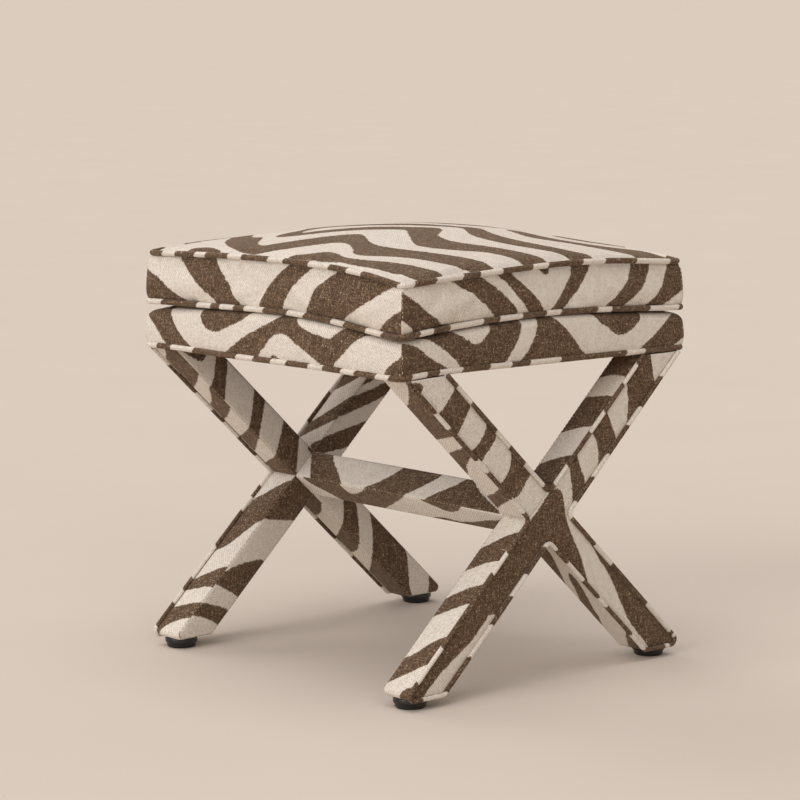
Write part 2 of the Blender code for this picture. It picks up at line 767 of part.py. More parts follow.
def make_deck_welt():
    height = DECK_BASE_HEIGHT + SEAT_WELT_RADIUS
    points = seat_welt_path(lambda along: height, lambda along: 0.0, 1)
    add_part(cord("deck_welt", points, SEAT_WELT_RADIUS, closed=True), STRIPED_CLOTH)


# Box cushion: heights are above the deck's corners, and the cushion rests on the deck's crown

CUSHION_LOW_CORNER = SEAT_WELT_RADIUS + FIT_GAP + CUSHION_SIDE_DIP
CUSHION_HIGH_CORNER = CUSHION_LOW_CORNER + CUSHION_BOX_DEPTH


def top_welt_height(along):
    return CUSHION_HIGH_CORNER + CUSHION_SIDE_RISE * hump(along)


def bottom_welt_height(along):
    return CUSHION_LOW_CORNER + (DECK_SIDE_RISE - CUSHION_SIDE_DIP) * hump(along)


def side_pull(along):
    return CUSHION_SIDE_DRAW * hump(along)


def top_height(u, v):
    corners_lifted = CUSHION_SIDE_RISE * (hump(u) + hump(v))
    return CUSHION_HIGH_CORNER + corners_lifted + CUSHION_CROWN * hump(u) * hump(v)


# The underside hangs free near its edges and lies on the deck further in
def bottom_height(u, v):
    free = CUSHION_LOW_CORNER - CUSHION_SIDE_DIP * (hump(u) + hump(v)) - CUSHION_BELLY * hump(u) * hump(v)
    return deck_rise(*drawn_in(u, v, INSIDE_WELT_HALF)) + max(FIT_GAP, free)


# Plan place of a grid point: the sides are drawn in, and the corner point keeps inside the welt's bend
def drawn_in(u, v, half):
    at_corner = min(abs(u), abs(v)) > 0.999
    x_half = half - side_pull(v) - (WELT_CORNER_CUT if at_corner else 0.0)
    y_half = half - side_pull(u) - (WELT_CORNER_CUT if at_corner else 0.0)
    return u * x_half, v * y_half


# How far the boxing stands out at a height w, -1 at the lower welt and 1 at the upper
def box_swell(along, w):
    return CUSHION_BOX_BULGE * hump(w) * (1 - along ** 6)


def make_cushion_panels(parent):
    steps = spread(SEAT_STEPS)

    def on_top(u, v):
        return (*drawn_in(u, v, INSIDE_WELT_HALF), top_height(u, v))

    def on_bottom(u, v):
        return (*drawn_in(u, v, INSIDE_WELT_HALF), bottom_height(u, v))

    top = cloth_sheet("cushion_top_panel", steps, steps, on_top, (0, 0, -1))
    add_part(top, STRIPED_CLOTH, parent)
    bottom = cloth_sheet("cushion_bottom_panel", steps, steps, on_bottom, (0, 0, 1))
    add_part(bottom, STRIPED_CLOTH, parent)


def make_cushion_boxing(parent):
    clear = SEAT_WELT_RADIUS + FIT_GAP
    for side, inward_way in INWARD.items():
        def place(u, v):
            low = bottom_welt_height(u) + clear
            high = top_welt_height(u) - clear
            height = low + (high - low) * (v + 1) / 2
            half = BOXING_HALF - side_pull(u) + box_swell(u, v)
            return on_side(side, u * (BOXING_HALF - SKIN), half, height)

        sheet = cloth_sheet("cushion_boxing_" + side, spread(SEAT_STEPS), spread(4), place, inward_way)
        add_part(sheet, STRIPED_CLOTH, parent)


def make_cushion_welts(parent):
    heights = {"cushion_top_welt": top_welt_height, "cushion_bottom_welt": bottom_welt_height}
    for name, height_at in heights.items():
        points = seat_welt_path(height_at, side_pull, SEAT_STEPS)
        add_part(cord(name, points, SEAT_WELT_RADIUS, closed=True), STRIPED_CLOTH, parent)


# The foam core fills the cover: a gridded cube whose points are moved to the cover's inside
def make_cushion_foam(parent):
    bm = bmesh.new()
    bmesh.ops.create_cube(bm, size=2.0)
    bmesh.ops.subdivide_edges(bm, edges=bm.edges, cuts=SEAT_STEPS - 1, use_grid_fill=True)
    edge_half = INSIDE_WELT_HALF - FIT_GAP
    side_half = BOXING_HALF - SKIN
    for vert in bm.verts:
        u, v, w = vert.co
        on_rim = abs(w) > 0.999
        x, y = drawn_in(u, v, edge_half if on_rim else side_half)
        low = bottom_height(u, v) + SKIN
        high = top_height(u, v) - SKIN
        vert.co = (x, y, low + (high - low) * (w + 1) / 2)
    bmesh.ops.triangulate(bm, faces=bm.faces, quad_method="SHORT_EDGE")
    foam = object_from_bmesh("cushion_foam", bm)
    add_part(foam, FOAM, parent)


def make_stool():
    bores = {}
    for side, sign in SIDE_SIGNS.items():
        found = {"stretcher": make_stretcher_bolt(side, sign)}
        for place, x_sign in (("left", -1), ("right", 1)):
            name = side + "_" + place
            found["glide_" + place] = make_glide(name, x_sign * GLIDE_X, sign * LEG_MIDDLE_Y)
            found["seat_" + place] = make_seat_bolt(name, x_sign * SEAT_BOLT_X, sign * LEG_MIDDLE_Y)
        bores[side] = found
        make_bars(side, sign, found)
        make_frame_cloth(side, sign, found)
        make_frame_welts(side, sign)
    make_stretcher([bores[side]["stretcher"] for side in SIDE_SIGNS])
    make_rails(bores)
    make_deck_padding()
    make_deck_boxing()
    make_deck_welt()

    lift = bpy.data.objects.new("cushion_lift", None)
    lift.location = (0.0, 0.0, DECK_TOP)
    PARTS.objects.link(lift)
    make_cushion_panels(lift)
    make_cushion_boxing(lift)
    make_cushion_welts(lift)
    make_cushion_foam(lift)


make_stool()
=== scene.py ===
# Looks of the upholstered x-frame stool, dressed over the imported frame.
# Places are in metres. Cloth coordinates and stripe outlines are in millimetres.
import math

import bmesh
import bpy
import numpy as np
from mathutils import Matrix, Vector


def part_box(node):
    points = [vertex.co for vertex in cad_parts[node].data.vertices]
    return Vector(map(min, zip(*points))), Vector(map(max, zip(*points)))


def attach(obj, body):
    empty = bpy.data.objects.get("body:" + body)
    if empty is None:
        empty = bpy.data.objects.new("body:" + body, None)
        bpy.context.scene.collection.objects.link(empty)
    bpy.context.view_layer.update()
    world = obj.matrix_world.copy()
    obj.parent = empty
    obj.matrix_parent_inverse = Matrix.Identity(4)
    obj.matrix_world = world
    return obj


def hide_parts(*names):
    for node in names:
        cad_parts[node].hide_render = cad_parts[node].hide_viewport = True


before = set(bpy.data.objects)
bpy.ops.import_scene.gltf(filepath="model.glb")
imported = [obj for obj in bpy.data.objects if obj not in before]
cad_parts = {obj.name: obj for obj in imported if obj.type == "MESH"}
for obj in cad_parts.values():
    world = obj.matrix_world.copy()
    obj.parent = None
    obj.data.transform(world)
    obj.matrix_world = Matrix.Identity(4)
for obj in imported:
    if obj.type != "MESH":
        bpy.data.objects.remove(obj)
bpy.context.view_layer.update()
scene = bpy.context.scene
scene.view_settings.view_transform = "Standard"
print("frame loaded:", len(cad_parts), "nodes")


# sizes read from the frame, so that every piece follows the solids
def reach(node, side, axis):
    return float(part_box(node)[side]["xyz".index(axis)])


weltRadius = (reach("deck_welt", 1, "z") - reach("deck_welt", 0, "z")) / 2
weltHalf = reach("deck_welt", 1, "x") - weltRadius
deckBase = reach("deck_welt", 0, "z")   # deck stripes are drawn up from here
deckWeltZ = deckBase + weltRadius
deckRise = 0.010            # the deck's pad is higher along its sides' middles than at its corners
deckTop = reach("deck_top_cloth", 1, "z") - deckRise
boxingHalf = -reach("deck_boxing_left", 0, "x")
topCorner = reach("cushion_top_welt", 0, "z") + weltRadius
topRise = reach("cushion_top_welt", 1, "z") - weltRadius - topCorner
lowCorner = reach("cushion_bottom_welt", 0, "z") + weltRadius
lowRise = reach("cushion_bottom_welt", 1, "z") - weltRadius - lowCorner
crownTop = reach("cushion_top_panel", 1, "z")
sleeveAcross = reach("stretcher_sleeve", 1, "x")
sleeveUpright = (reach("stretcher_sleeve", 1, "z") - reach("stretcher_sleeve", 0, "z")) / 2
crossingZ = reach("stretcher_sleeve", 0, "z") + sleeveUpright
sleeveEnd = reach("stretcher_sleeve", 1, "y")
legSlope = math.atan2(sleeveUpright, sleeveAcross)
legSin, legCos = math.sin(legSlope), math.cos(legSlope)
legHalf = sleeveAcross * legSin
legTop = reach("near_outer_panel", 1, "z")
footZ = reach("near_left_strip", 0, "z")
outerY = reach("far_outer_panel", 1, "y")
innerY = reach("far_inner_panel", 0, "y")
frameDepth = outerY - innerY
print("leg slope", round(math.degrees(legSlope), 2), "leg half width", round(legHalf * 1000, 2), "mm")

# along and outward directions in plan, for the four sides in order round the seat
seatSides = {
    "near": (np.array((1.0, 0.0)), np.array((0.0, -1.0))),
    "right": (np.array((0.0, 1.0)), np.array((1.0, 0.0))),
    "far": (np.array((-1.0, 0.0)), np.array((0.0, 1.0))),
    "left": (np.array((0.0, -1.0)), np.array((-1.0, 0.0))),
}
frameEnds = {"near": -1, "far": 1}      # sign of y


# 1 at the middle of a side, 0 at its ends
def hump(u):
    return 1 - u * u


# how far the deck's pad stands above its corners
def padRise(x, y):
    across, along = hump(x / boxingHalf), hump(y / boxingHalf)
    return deckRise * (across + along - across * along)


# The photographed seat is hand made, so its cords run a little higher or lower than the frame's even ones.
# Rises in millimetres at even steps, along the near side by x and along the left side by -y.
seatRises = {
    "top": {"near": [-1.5, -3.5, -4.5, -2.9, -2.4, -1.2], "left": [7.0, 3.1, 2.1, 2.6, 3.4, -1.5]},
    "bottom": {"near": [-1.3, 2.0, 3.4, 2.9, 0.7, 0.0], "left": [4.0, 3.1, 3.8, 4.8, 1.6, -1.3]},
    "deck": {"near": [3.6, 6.6, 5.5, 4.4, 3.0, 2.2], "left": [1.0, 2.9, 2.8, 3.7, 3.7, 3.6]},
}
riseCurves = {level: {side: np.polyfit(np.linspace(-1, 1, 6), np.array(rises) / 1000, 5)
                      for side, rises in sides.items()}
              for level, sides in seatRises.items()}
seatFit = {
    "cornerDrop": 0.004,    # the deck's top stays this far below the raised far left corner
    "cornerPower": 6,
    "skirtStart": 0.186,    # from here outward, rails and leg tops follow the deck's lower edge
    "skirtWidth": 0.040,
}


# rise of one level of the seat over its plan: the near and left sides are as read, the far and right ones
# run straight between their corners
def seatRise(level, x, y):
    u, v = np.clip(x / weltHalf, -1, 1), np.clip(y / weltHalf, -1, 1)
    s, t = (1 + u) / 2, (1 + v) / 2
    corners = (("near", 0), ("near", -1), ("left", 0))
    front, right, back = (seatRises[level][side][k] / 1000 for side, k in corners)
    nearLine, leftLine = (1 - s) * front + s * right, (1 - t) * front + t * back
    nearBow = np.polyval(riseCurves[level]["near"], u) - nearLine
    leftBow = np.polyval(riseCurves[level]["left"], -v) - leftLine
    return (1 - t) * nearLine + (1 - s) * t * back + (1 - t) * nearBow + (1 - s) * leftBow


# the deck's top follows the cushion, but not up into the raised far left corner
def lidRise(x, y):
    corner = (1 - x / weltHalf) / 2 * (1 + y / weltHalf) / 2
    return seatRise("bottom", x, y) - seatFit["cornerDrop"] * corner ** seatFit["cornerPower"]


# rails, leg tops and dust cover follow the deck's lower edge at their outer sides only
def skirtRise(x, y):
    outer = (np.maximum(np.abs(x), np.abs(y)) - seatFit["skirtStart"]) / seatFit["skirtWidth"]
    return seatRise("deck", x, y) * np.clip(outer, 0, 1)


# materials

def linear(hexColour):
    channels = [int(hexColour[i:i + 2], 16) / 255 for i in (1, 3, 5)]
    return tuple(c / 12.92 if c <= 0.04045 else ((c + 0.055) / 1.055) ** 2.4 for c in channels) + (1.0,)


# one node with its settings, its plain values and its links; gives back one of its outputs
def addNode(tree, kind, values=None, links=None, out=0, **settings):
    node = tree.nodes.new("ShaderNode" + kind)
    for key, value in settings.items():
        setattr(node, key, value)
    for socket, value in (values or {}).items():
        node.inputs[socket].default_value = value
    for socket, source in (links or {}).items():
        tree.links.new(source, node.inputs[socket])
    return node.outputs[out]


def newMaterial(name, sockets):
    material = bpy.data.materials.new(name)
    material.use_nodes = True
    shader = material.node_tree.nodes["Principled BSDF"]
    for socket, value in sockets.items():
        shader.inputs[socket].default_value = value
    return material, material.node_tree, shader


def setRamp(colour, stops):
    ramp = colour.node.color_ramp
    while len(ramp.elements) > len(stops):
        ramp.elements.remove(ramp.elements[-1])
    while len(ramp.elements) < len(stops):
        ramp.elements.new(1.0)
    for element, (place, tone) in zip(ramp.elements, stops):
        element.position = place
        element.color = linear(tone)
    return colour


# Jacquard woven cotton and linen: a matt cloth of thick slubby yarn. The eye sees cream and brown yarn with
# single threads of the other tone in it, stripe edges that step thread by thread, slanting twill ribs whose
# light and shade are painted into the colour, and a soft warm bloom at grazing light.
stripedCotton = {
    "threadMm": 1.6,        # real yarn is about 0.6 mm, drawn coarser so that it shows
    "twillMm": 2.8,         # the weave's slanting ribs, also drawn coarser
    "slubMm": 16.0,         # length of a thick stretch of yarn
    "edgeStepMm": 1.7,      # how far a thread steps over the stripe edge
    "edgeWanderMm": 2.4,    # how far the edge wanders, and over what length
    "wanderLengthMm": 7.0,
    "edgeSoftMm": 0.45,
    "threadTone": 0.62,     # share of the tone that changes from crossing to crossing
    "slubTone": 0.38,       # share that changes along the yarn
    "slubRange": (0.6, 1.4),
    "gapShadeTone": 0.86,        # painted shade: darker between the threads
    # painted light and shade of the twill ribs: darkest and brightest factors on the colour
    "ribLightAndShade": (0.88, 1.05),
    "toneLift": 0.7,        # pale threads stand a little higher
    "bump": 0.55, "bumpMm": 0.5,
    "brown": [(0.0, "#382b20"), (0.35, "#554233"), (0.62, "#6a5542"), (0.84, "#856f59"), (1.0, "#bcaa94")],
    "cream": [(0.0, "#c4b8ab"), (0.22, "#d6cbc0"), (0.55, "#e2d9ce"), (1.0, "#efe8df")],
    "shader": {"Roughness": 0.9, "Specular IOR Level": 0.2,
               "Sheen Weight": 0.14, "Sheen Roughness": 0.4, "Sheen Tint": linear("#ffe4cf")},
}


def makeStripedCotton(look):
    material, tree, shader = newMaterial("woven_striped_cotton", look["shader"])
    thread, slubLength = look["threadMm"], look["slubMm"]
    cloth = addNode(tree, "Attribute", out="Vector", attribute_name="cloth")
    flat = addNode(tree, "VectorMath", {1: (1, 1, 0)}, {0: cloth}, operation="MULTIPLY")
    axes = addNode(tree, "SeparateXYZ", links={0: cloth}).node.outputs
    # every crossing of two threads has a tone of its own
    crossing = addNode(tree, "VectorMath", {1: (thread, thread, thread)}, {0: flat}, operation="SNAP")
    tone = addNode(tree, "TexWhiteNoise", links={"Vector": crossing}, out="Value", noise_dimensions="2D")
    # thick and thin stretches along both sets of threads
    sets = []
    for scale in ((1 / thread, 1 / slubLength, 0), (1 / slubLength, 1 / thread, 0)):
        place = addNode(tree, "VectorMath", {1: scale}, {0: flat}, operation="MULTIPLY")
        sets.append(addNode(tree, "TexNoise", {"Scale": 1.0, "Detail": 1.0}, {"Vector": place}, "Fac",
                            noise_dimensions="2D"))
    slub = addNode(tree, "Math", links={0: sets[0], 1: sets[1]}, operation="ADD")
    # the stripe edge steps from thread to thread and wanders a little
    wander = addNode(tree, "TexNoise", {"Scale": 1 / look["wanderLengthMm"], "Detail": 2.0}, {"Vector": flat},
                     "Fac", noise_dimensions="2D")
    step = addNode(tree, "Math", {1: look["edgeStepMm"]}, {0: tone}, operation="MULTIPLY")
    drift = addNode(tree, "Math", {1: look["edgeWanderMm"]}, {0: wander, 2: step}, operation="MULTIPLY_ADD")
    edge = addNode(tree, "Math", links={0: axes["Z"], 1: drift}, operation="ADD")
    middle, soft = (look["edgeStepMm"] + look["edgeWanderMm"]) / 2, look["edgeSoftMm"]
    stripe = addNode(tree, "MapRange", {"From Min": middle - soft, "From Max": middle + soft}, {"Value": edge})
    # yarn tones
    thin, thick = look["slubRange"]
    mixed = addNode(tree, "Math", {1: look["threadTone"]}, {0: tone}, operation="MULTIPLY")
    spread = addNode(tree, "MapRange", {"From Min": thin, "From Max": thick, "To Min": 0.0,
                                        "To Max": look["slubTone"]}, {"Value": slub})
    yarn = addNode(tree, "Math", links={0: mixed, 1: spread}, operation="ADD")
    brown = setRamp(addNode(tree, "ValToRGB", links={"Fac": yarn}), look["brown"])
    cream = setRamp(addNode(tree, "ValToRGB", links={"Fac": yarn}), look["cream"])
    colour = addNode(tree, "Mix", links={"Factor": stripe, 6: cream, 7: brown}, out=2, data_type="RGBA")
    # threads stand up in the middle and dip where they cross under; the dips are darkened with painted shade
    waves = []
    for axis in "XY":
        turn = addNode(tree, "Math", {1: math.pi / thread}, {0: axes[axis]}, operation="MULTIPLY")
        waves.append(addNode(tree, "Math", links={0: turn}, operation="SINE"))
    weave = addNode(tree, "Math", links={0: waves[0], 1: waves[1]}, operation="MULTIPLY")
    height = addNode(tree, "Math", {1: look["toneLift"]}, {0: tone, 2: weave}, operation="MULTIPLY_ADD")
    paintedGapShade = addNode(tree, "MapRange", {"From Min": -1.0, "From Max": 0.4, "To Min": look["gapShadeTone"],
                                     "To Max": 1.0}, {"Value": weave})
    # slanting ribs of the twill, painted into the colour as lighter crests and shaded grooves
    slant = addNode(tree, "Math", links={0: axes["X"], 1: axes["Y"]}, operation="ADD")
    ribsPerMm = 2 * math.pi * math.sqrt(0.5) / look["twillMm"]
    ribTurn = addNode(tree, "Math", {1: ribsPerMm}, {0: slant}, operation="MULTIPLY")
    rib = addNode(tree, "Math", links={0: ribTurn}, operation="SINE")
    dark, bright = look["ribLightAndShade"]
    ribLightAndShade = addNode(tree, "MapRange", {"From Min": -1.0, "From Max": 1.0, "To Min": dark, "To Max": bright},
                      {"Value": rib})
    for shade in (paintedGapShade, ribLightAndShade):
        colour = addNode(tree, "Mix", {"Factor": 1.0}, {6: colour, 7: shade}, 2, data_type="RGBA",
                         blend_type="MULTIPLY")
    bump = addNode(tree, "Bump", {"Strength": look["bump"], "Distance": look["bumpMm"] / 1000},
                   {"Height": height})
    tree.links.new(colour, shader.inputs["Base Color"])
    tree.links.new(bump, shader.inputs["Normal"])
    return material


zebraCotton = makeStripedCotton(stripedCotton)
print("striped cotton made")


# plain finishes: each is a base colour that varies with a noise of a real size, and a bump of the same grain
plainFinishes = {
    # cotton lining over the deck pad: pale, matt, fine even weave
    "deck_lining_cotton": {"low": "#cfc6b6", "high": "#e3dccf", "grainMm": (2, 2, 2), "rough": 0.92,
                           "bump": 0.3},
    # spun polypropylene dust cover: near black, slightly fuzzy
    "dust_cover_felt": {"low": "#131313", "high": "#262524", "grainMm": (1.6, 1.6, 1.6), "rough": 0.95,
                        "bump": 0.3},
    # planed beech: warm pale wood with long fine grain
    "planed_beech": {"low": "#b98b5e", "high": "#d3aa7c", "grainMm": (60, 4, 4), "rough": 0.55, "bump": 0.12},
    # birch plywood: pale veneer with a wide soft figure
    "birch_plywood": {"low": "#c9a978", "high": "#dec49a", "grainMm": (80, 7, 2), "rough": 0.6, "bump": 0.1},
    # zinc plated steel: bright bluish metal with a faint crystalline mottle
    "zinced_steel": {"low": "#a9acb0", "high": "#c9ccd0", "grainMm": (3, 3, 3), "rough": 0.32, "bump": 0.05,
                     "metal": 1.0},
    # moulded black nylon: satin, with the fine spark grain of the mould, drawn coarser so that it shows
    "moulded_black_nylon": {"low": "#0d0d0c", "high": "#171615", "grainMm": (1.2, 1.2, 1.2), "rough": 0.38,
                            "bump": 0.1},
    # spun polyester sewing thread: pale, slightly shiny, twisted
    "sewing_thread": {"low": "#c5b9a5", "high": "#e2d9ca", "grainMm": (0.8, 0.8, 0.8), "rough": 0.6,
                      "bump": 0.2},
    # taupe thread of the topstitched edges, which sinks into the cloth
    "taupe_thread": {"low": "#8d8171", "high": "#b3a896", "grainMm": (0.8, 0.8, 0.8), "rough": 0.7,
                     "bump": 0.2},
    # matt painted studio floor: pale, warm and even
    "painted_floor": {"low": "#d0c5ba", "high": "#d2c7bc", "grainMm": (400, 400, 400), "rough": 1.0,
                      "bump": 0.0, "specular": 0.0},
}
grainBumpMm = 0.4
roughSpread = 0.06


def makePlain(name, look):
    sockets = {"Metallic": look.get("metal", 0.0), "Specular IOR Level": look.get("specular", 0.5)}
    material, tree, shader = newMaterial(name, sockets)
    place = addNode(tree, "TexCoord", out="Object")
    grain = tuple(1000 / size for size in look["grainMm"])
    scaled = addNode(tree, "VectorMath", {1: grain}, {0: place}, operation="MULTIPLY")
    noise = addNode(tree, "TexNoise", {"Scale": 1.0, "Detail": 3.0, "Roughness": 0.6}, {"Vector": scaled},
                    "Fac")
    stops = [(0.3, look["low"]), (0.7, look["high"])]
    colour = setRamp(addNode(tree, "ValToRGB", links={"Fac": noise}), stops)
    rough = addNode(tree, "MapRange", {"To Min": look["rough"] - roughSpread,
                                       "To Max": min(1.0, look["rough"] + roughSpread)}, {"Value": noise})
    tree.links.new(colour, shader.inputs["Base Color"])
    tree.links.new(rough, shader.inputs["Roughness"])
    if look["bump"]:
        bump = addNode(tree, "Bump", {"Strength": look["bump"], "Distance": grainBumpMm / 1000},
                       {"Height": noise})
        tree.links.new(bump, shader.inputs["Normal"])
    return material


finish = {name: makePlain(name, look) for name, look in plainFinishes.items()}
print("plain finishes made:", len(finish))


# stripes: brown outlines on cream cloth, drawn as loops of points in millimetres
stripeReach = 12.0          # farthest depth that is told outside a stripe
loopMargin = 10             # and the room round a loop where it is worked out


def roundLoop(points):
    loop = np.array(points, float)
    for _ in range(2):  # corner cutting, so that the outline runs in smooth curves
        after = np.roll(loop, -1, 0)
        loop = np.stack((0.75 * loop + 0.25 * after, 0.25 * loop + 0.75 * after), 1).reshape(-1, 2)
    return loop


# depth of each place inside a loop, negative outside, exact only near the outline
def loopDepth(places, points):
    loop = roundLoop(points)
    depth = np.full(len(places), -stripeReach)
    near = np.all((places > loop.min(0) - loopMargin) & (places < loop.max(0) + loopMargin), 1)
    x, y = places[near, 0], places[near, 1]
    nearest = np.full(len(x), 1e9)
    inside = np.zeros(len(x), bool)
    for (ax, ay), (bx, by) in zip(loop, np.roll(loop, -1, 0)):
        dx, dy = bx - ax, by - ay
        t = np.clip(((x - ax) * dx + (y - ay) * dy) / max(dx * dx + dy * dy, 1e-9), 0, 1)
        nearest = np.minimum(nearest, (x - ax - t * dx) ** 2 + (y - ay - t * dy) ** 2)
        crosses = (ay > y) != (by > y)
        if by != ay:
            inside ^= crosses & (x < ax + (y - ay) * dx / (by - ay))
    distance = np.sqrt(nearest)
    depth[near] = np.maximum(np.where(inside, distance, -distance), -stripeReach)
    return depth


def stripeDepth(places, stripes):
    depth = np.full(len(places), -stripeReach)
    for points in stripes.get("brown", []):
        depth = np.maximum(depth, loopDepth(places, points))
    for points in stripes.get("cream", []):
        depth = np.minimum(depth, -loopDepth(places, points))
    return depth


def mirrored(stripes):
    return {tone: [[(-a, b) for a, b in loop] for loop in loops] for tone, loops in stripes.items()}


# the third cloth value holds the panel's number while a mesh is built, and the stripe depth afterwards
def paintStripes(mesh, panels):
    layer = mesh.attributes["cloth"].data
    values = np.zeros(len(layer) * 3, np.float32)
    layer.foreach_get("vector", values)
    values = values.reshape(-1, 3)
    number = np.round(values[:, 2]).astype(int)
    for k, stripes in enumerate(panels):
        chosen = number == k
        values[chosen, 2] = stripeDepth(values[chosen, :2].astype(float), stripes)
    layer.foreach_set("vector", values.ravel())


# mesh helpers
weldDistance = 2e-6


def clothLayer(bm):
    layers = bm.loops.layers.float_vector
    return layers.get("cloth") or layers.new("cloth")


def meshPoints(mesh):
    points = np.zeros(len(mesh.vertices) * 3, np.float32)
    mesh.vertices.foreach_get("co", points)
    return points.reshape(-1, 3)


# a grid of points becomes a sheet that faces outward, with its cloth coordinates on the face corners
def addSheet(bm, points, cloth, panel, outward):
    layer = clothLayer(bm)
    rows, columns = points.shape[:2]
    i, j = (rows - 1) // 2, (columns - 1) // 2
    normal = np.cross(points[i + 1, j] - points[i, j], points[i, j + 1] - points[i, j])
    flip = float(np.dot(normal, outward)) < 0
    made = [[bm.verts.new(points[r, c]) for c in range(columns)] for r in range(rows)]
    for r in range(rows - 1):
        for c in range(columns - 1):
            ring = [(r, c), (r + 1, c), (r + 1, c + 1), (r, c + 1)]
            if flip:
                ring.reverse()
            face = bm.faces.new([made[p][q] for p, q in ring])
            for loop, (p, q) in zip(face.loops, ring):
                loop[layer] = (cloth[p, q, 0], cloth[p, q, 1], panel)


def addObject(name, bm):
    mesh = bpy.data.meshes.new(name)
    bm.to_mesh(mesh)
    bm.free()
    made = bpy.data.objects.new(name, mesh)
    scene.collection.objects.link(made)
    return made


def addPiece(name, bm, material, body, replaced=(), panels=None, thickness=0.0):
    bmesh.ops.remove_doubles(bm, verts=bm.verts, dist=weldDistance)
    piece = addObject(name, bm)
    piece.data.shade_smooth()
    piece.data.materials.append(material)
    if panels:
        paintStripes(piece.data, panels)
    if thickness:
        shell = piece.modifiers.new("cloth thickness", "SOLIDIFY")
        shell.thickness = thickness
        shell.offset = -1.0
    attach(piece, body)
    if replaced:
        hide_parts(*replaced)
    return piece


def splitEdges(piece, degrees):
    creased = piece.modifiers.new("edges", "EDGE_SPLIT")
    creased.split_angle = math.radians(degrees)


def alongRun(points):
    return np.concatenate(([0], np.cumsum(np.linalg.norm(np.diff(points, axis=0), axis=1))))


cordLook = {
    "lump": 0.035,          # cord is never quite even: share of its radius, and the lengths of two waves
    "lumpMm": (3.1, 7.7),
    "leanMm": 1.6,          # the joins of the bias strip lean a little
    "bias": 0.7071,         # bias cut: the threads run at 45 degrees round the cord
    "creamDepth": -8.0,
}


# a round cord along a path of points, given the outward direction at each point
def addCord(bm, path, outward, radius, alongMm, depthAt, closed, sides):
    look, layer = cordLook, clothLayer(bm)
    path, outward = np.array(path), np.array(outward)
    count = len(path)
    if closed:
        tangent = np.roll(path, -1, 0) - np.roll(path, 1, 0)
    else:
        tangent = np.gradient(path, axis=0)
    tangent /= np.linalg.norm(tangent, axis=1)[:, None]
    outward = outward - tangent * np.sum(outward * tangent, 1)[:, None]
    outward /= np.linalg.norm(outward, axis=1)[:, None]
    up = np.cross(tangent, outward)
    angle = np.arange(sides) * 2 * math.pi / sides
    short, long = look["lumpMm"]
    lump = 1 + look["lump"] * np.sin(alongMm / short) * np.sin(alongMm / long + 1.0)
    rings = []
    for k in range(count):
        spokes = np.cos(angle)[:, None] * outward[k] + np.sin(angle)[:, None] * up[k]
        rings.append([bm.verts.new(spot) for spot in path[k] + radius * lump[k] * spokes])
    girth = 2 * math.pi * radius * 1000 / sides
    for k in range(count if closed else count - 1):
        following = (k + 1) % count
        here, ahead = alongMm[k], alongMm[k] + np.linalg.norm(path[following] - path[k]) * 1000
        for s in range(sides):
            beside = (s + 1) % sides
            corners = [(k, beside, here, s + 1), (following, beside, ahead, s + 1), (following, s, ahead, s),
                       (k, s, here, s)]
            face = bm.faces.new([rings[p][q] for p, q, _, _ in corners])
            for loop, (_, q, a, turn) in zip(face.loops, corners):
                lean = a + look["leanMm"] * math.sin(angle[q])
                lap = turn * girth
                loop[layer] = ((a + lap) * look["bias"], (a - lap) * look["bias"], float(depthAt(lean)))
    if not closed:
        for ring in (rings[0], rings[-1]):
            bm.faces.new(ring)


# distance into the nearest brown stretch of a cord, negative on cream
def stretchDepth(stretches):
    starts, ends = np.array(stretches, float).T
    return lambda a: max(cordLook["creamDepth"], float(np.max(np.minimum(a - starts, ends - a))))


# one hand-like stitch: a small pill of thread lying along a seam
stitchProfile = ((-0.5, 0.35, -0.7), (-0.32, 1.0, 0.0), (0.0, 1.1, 0.25), (0.32, 1.0, 0.0), (0.5, 0.35, -0.7))
stitchSides = 6


def addStitch(bm, place, along, up, length, radius):
    along, up = Vector(along).normalized(), Vector(up)
    up = (up - along * up.dot(along)).normalized()
    side = along.cross(up)
    spokes = [side * math.cos(a) + up * math.sin(a) for a in [k * math.pi / 3 for k in range(stitchSides)]]
    rings = []
    for t, swell, lift in stitchProfile:
        centre = Vector(place) + along * (t * length) + up * (lift * radius)
        rings.append([bm.verts.new(centre + spoke * (radius * swell)) for spoke in spokes])
    for first, second in zip(rings, rings[1:]):
        for k in range(stitchSides):
            beside = (k + 1) % stitchSides
            bm.faces.new((first[k], second[k], second[beside], first[beside]))
    bm.faces.new(rings[0])
    bm.faces.new(list(reversed(rings[-1])))


# stitches along a polyline, evenly spaced
def stitchLine(bm, points, ups, look):
    points, pitch = np.array(points), look["stitchPitch"]
    lengths = alongRun(points)
    for s in np.arange(pitch / 2, lengths[-1], pitch):
        k = min(int(np.searchsorted(lengths, s, side="right")) - 1, len(points) - 2)
        t = (s - lengths[k]) / max(lengths[k + 1] - lengths[k], 1e-9)
        spot = points[k] * (1 - t) + points[k + 1] * t
        addStitch(bm, spot, points[k + 1] - points[k], ups[k], look["stitchLength"], look["stitchRadius"])


# box cushion: one closed cover of top, bottom and four boxings, blown up a little by a cloth run

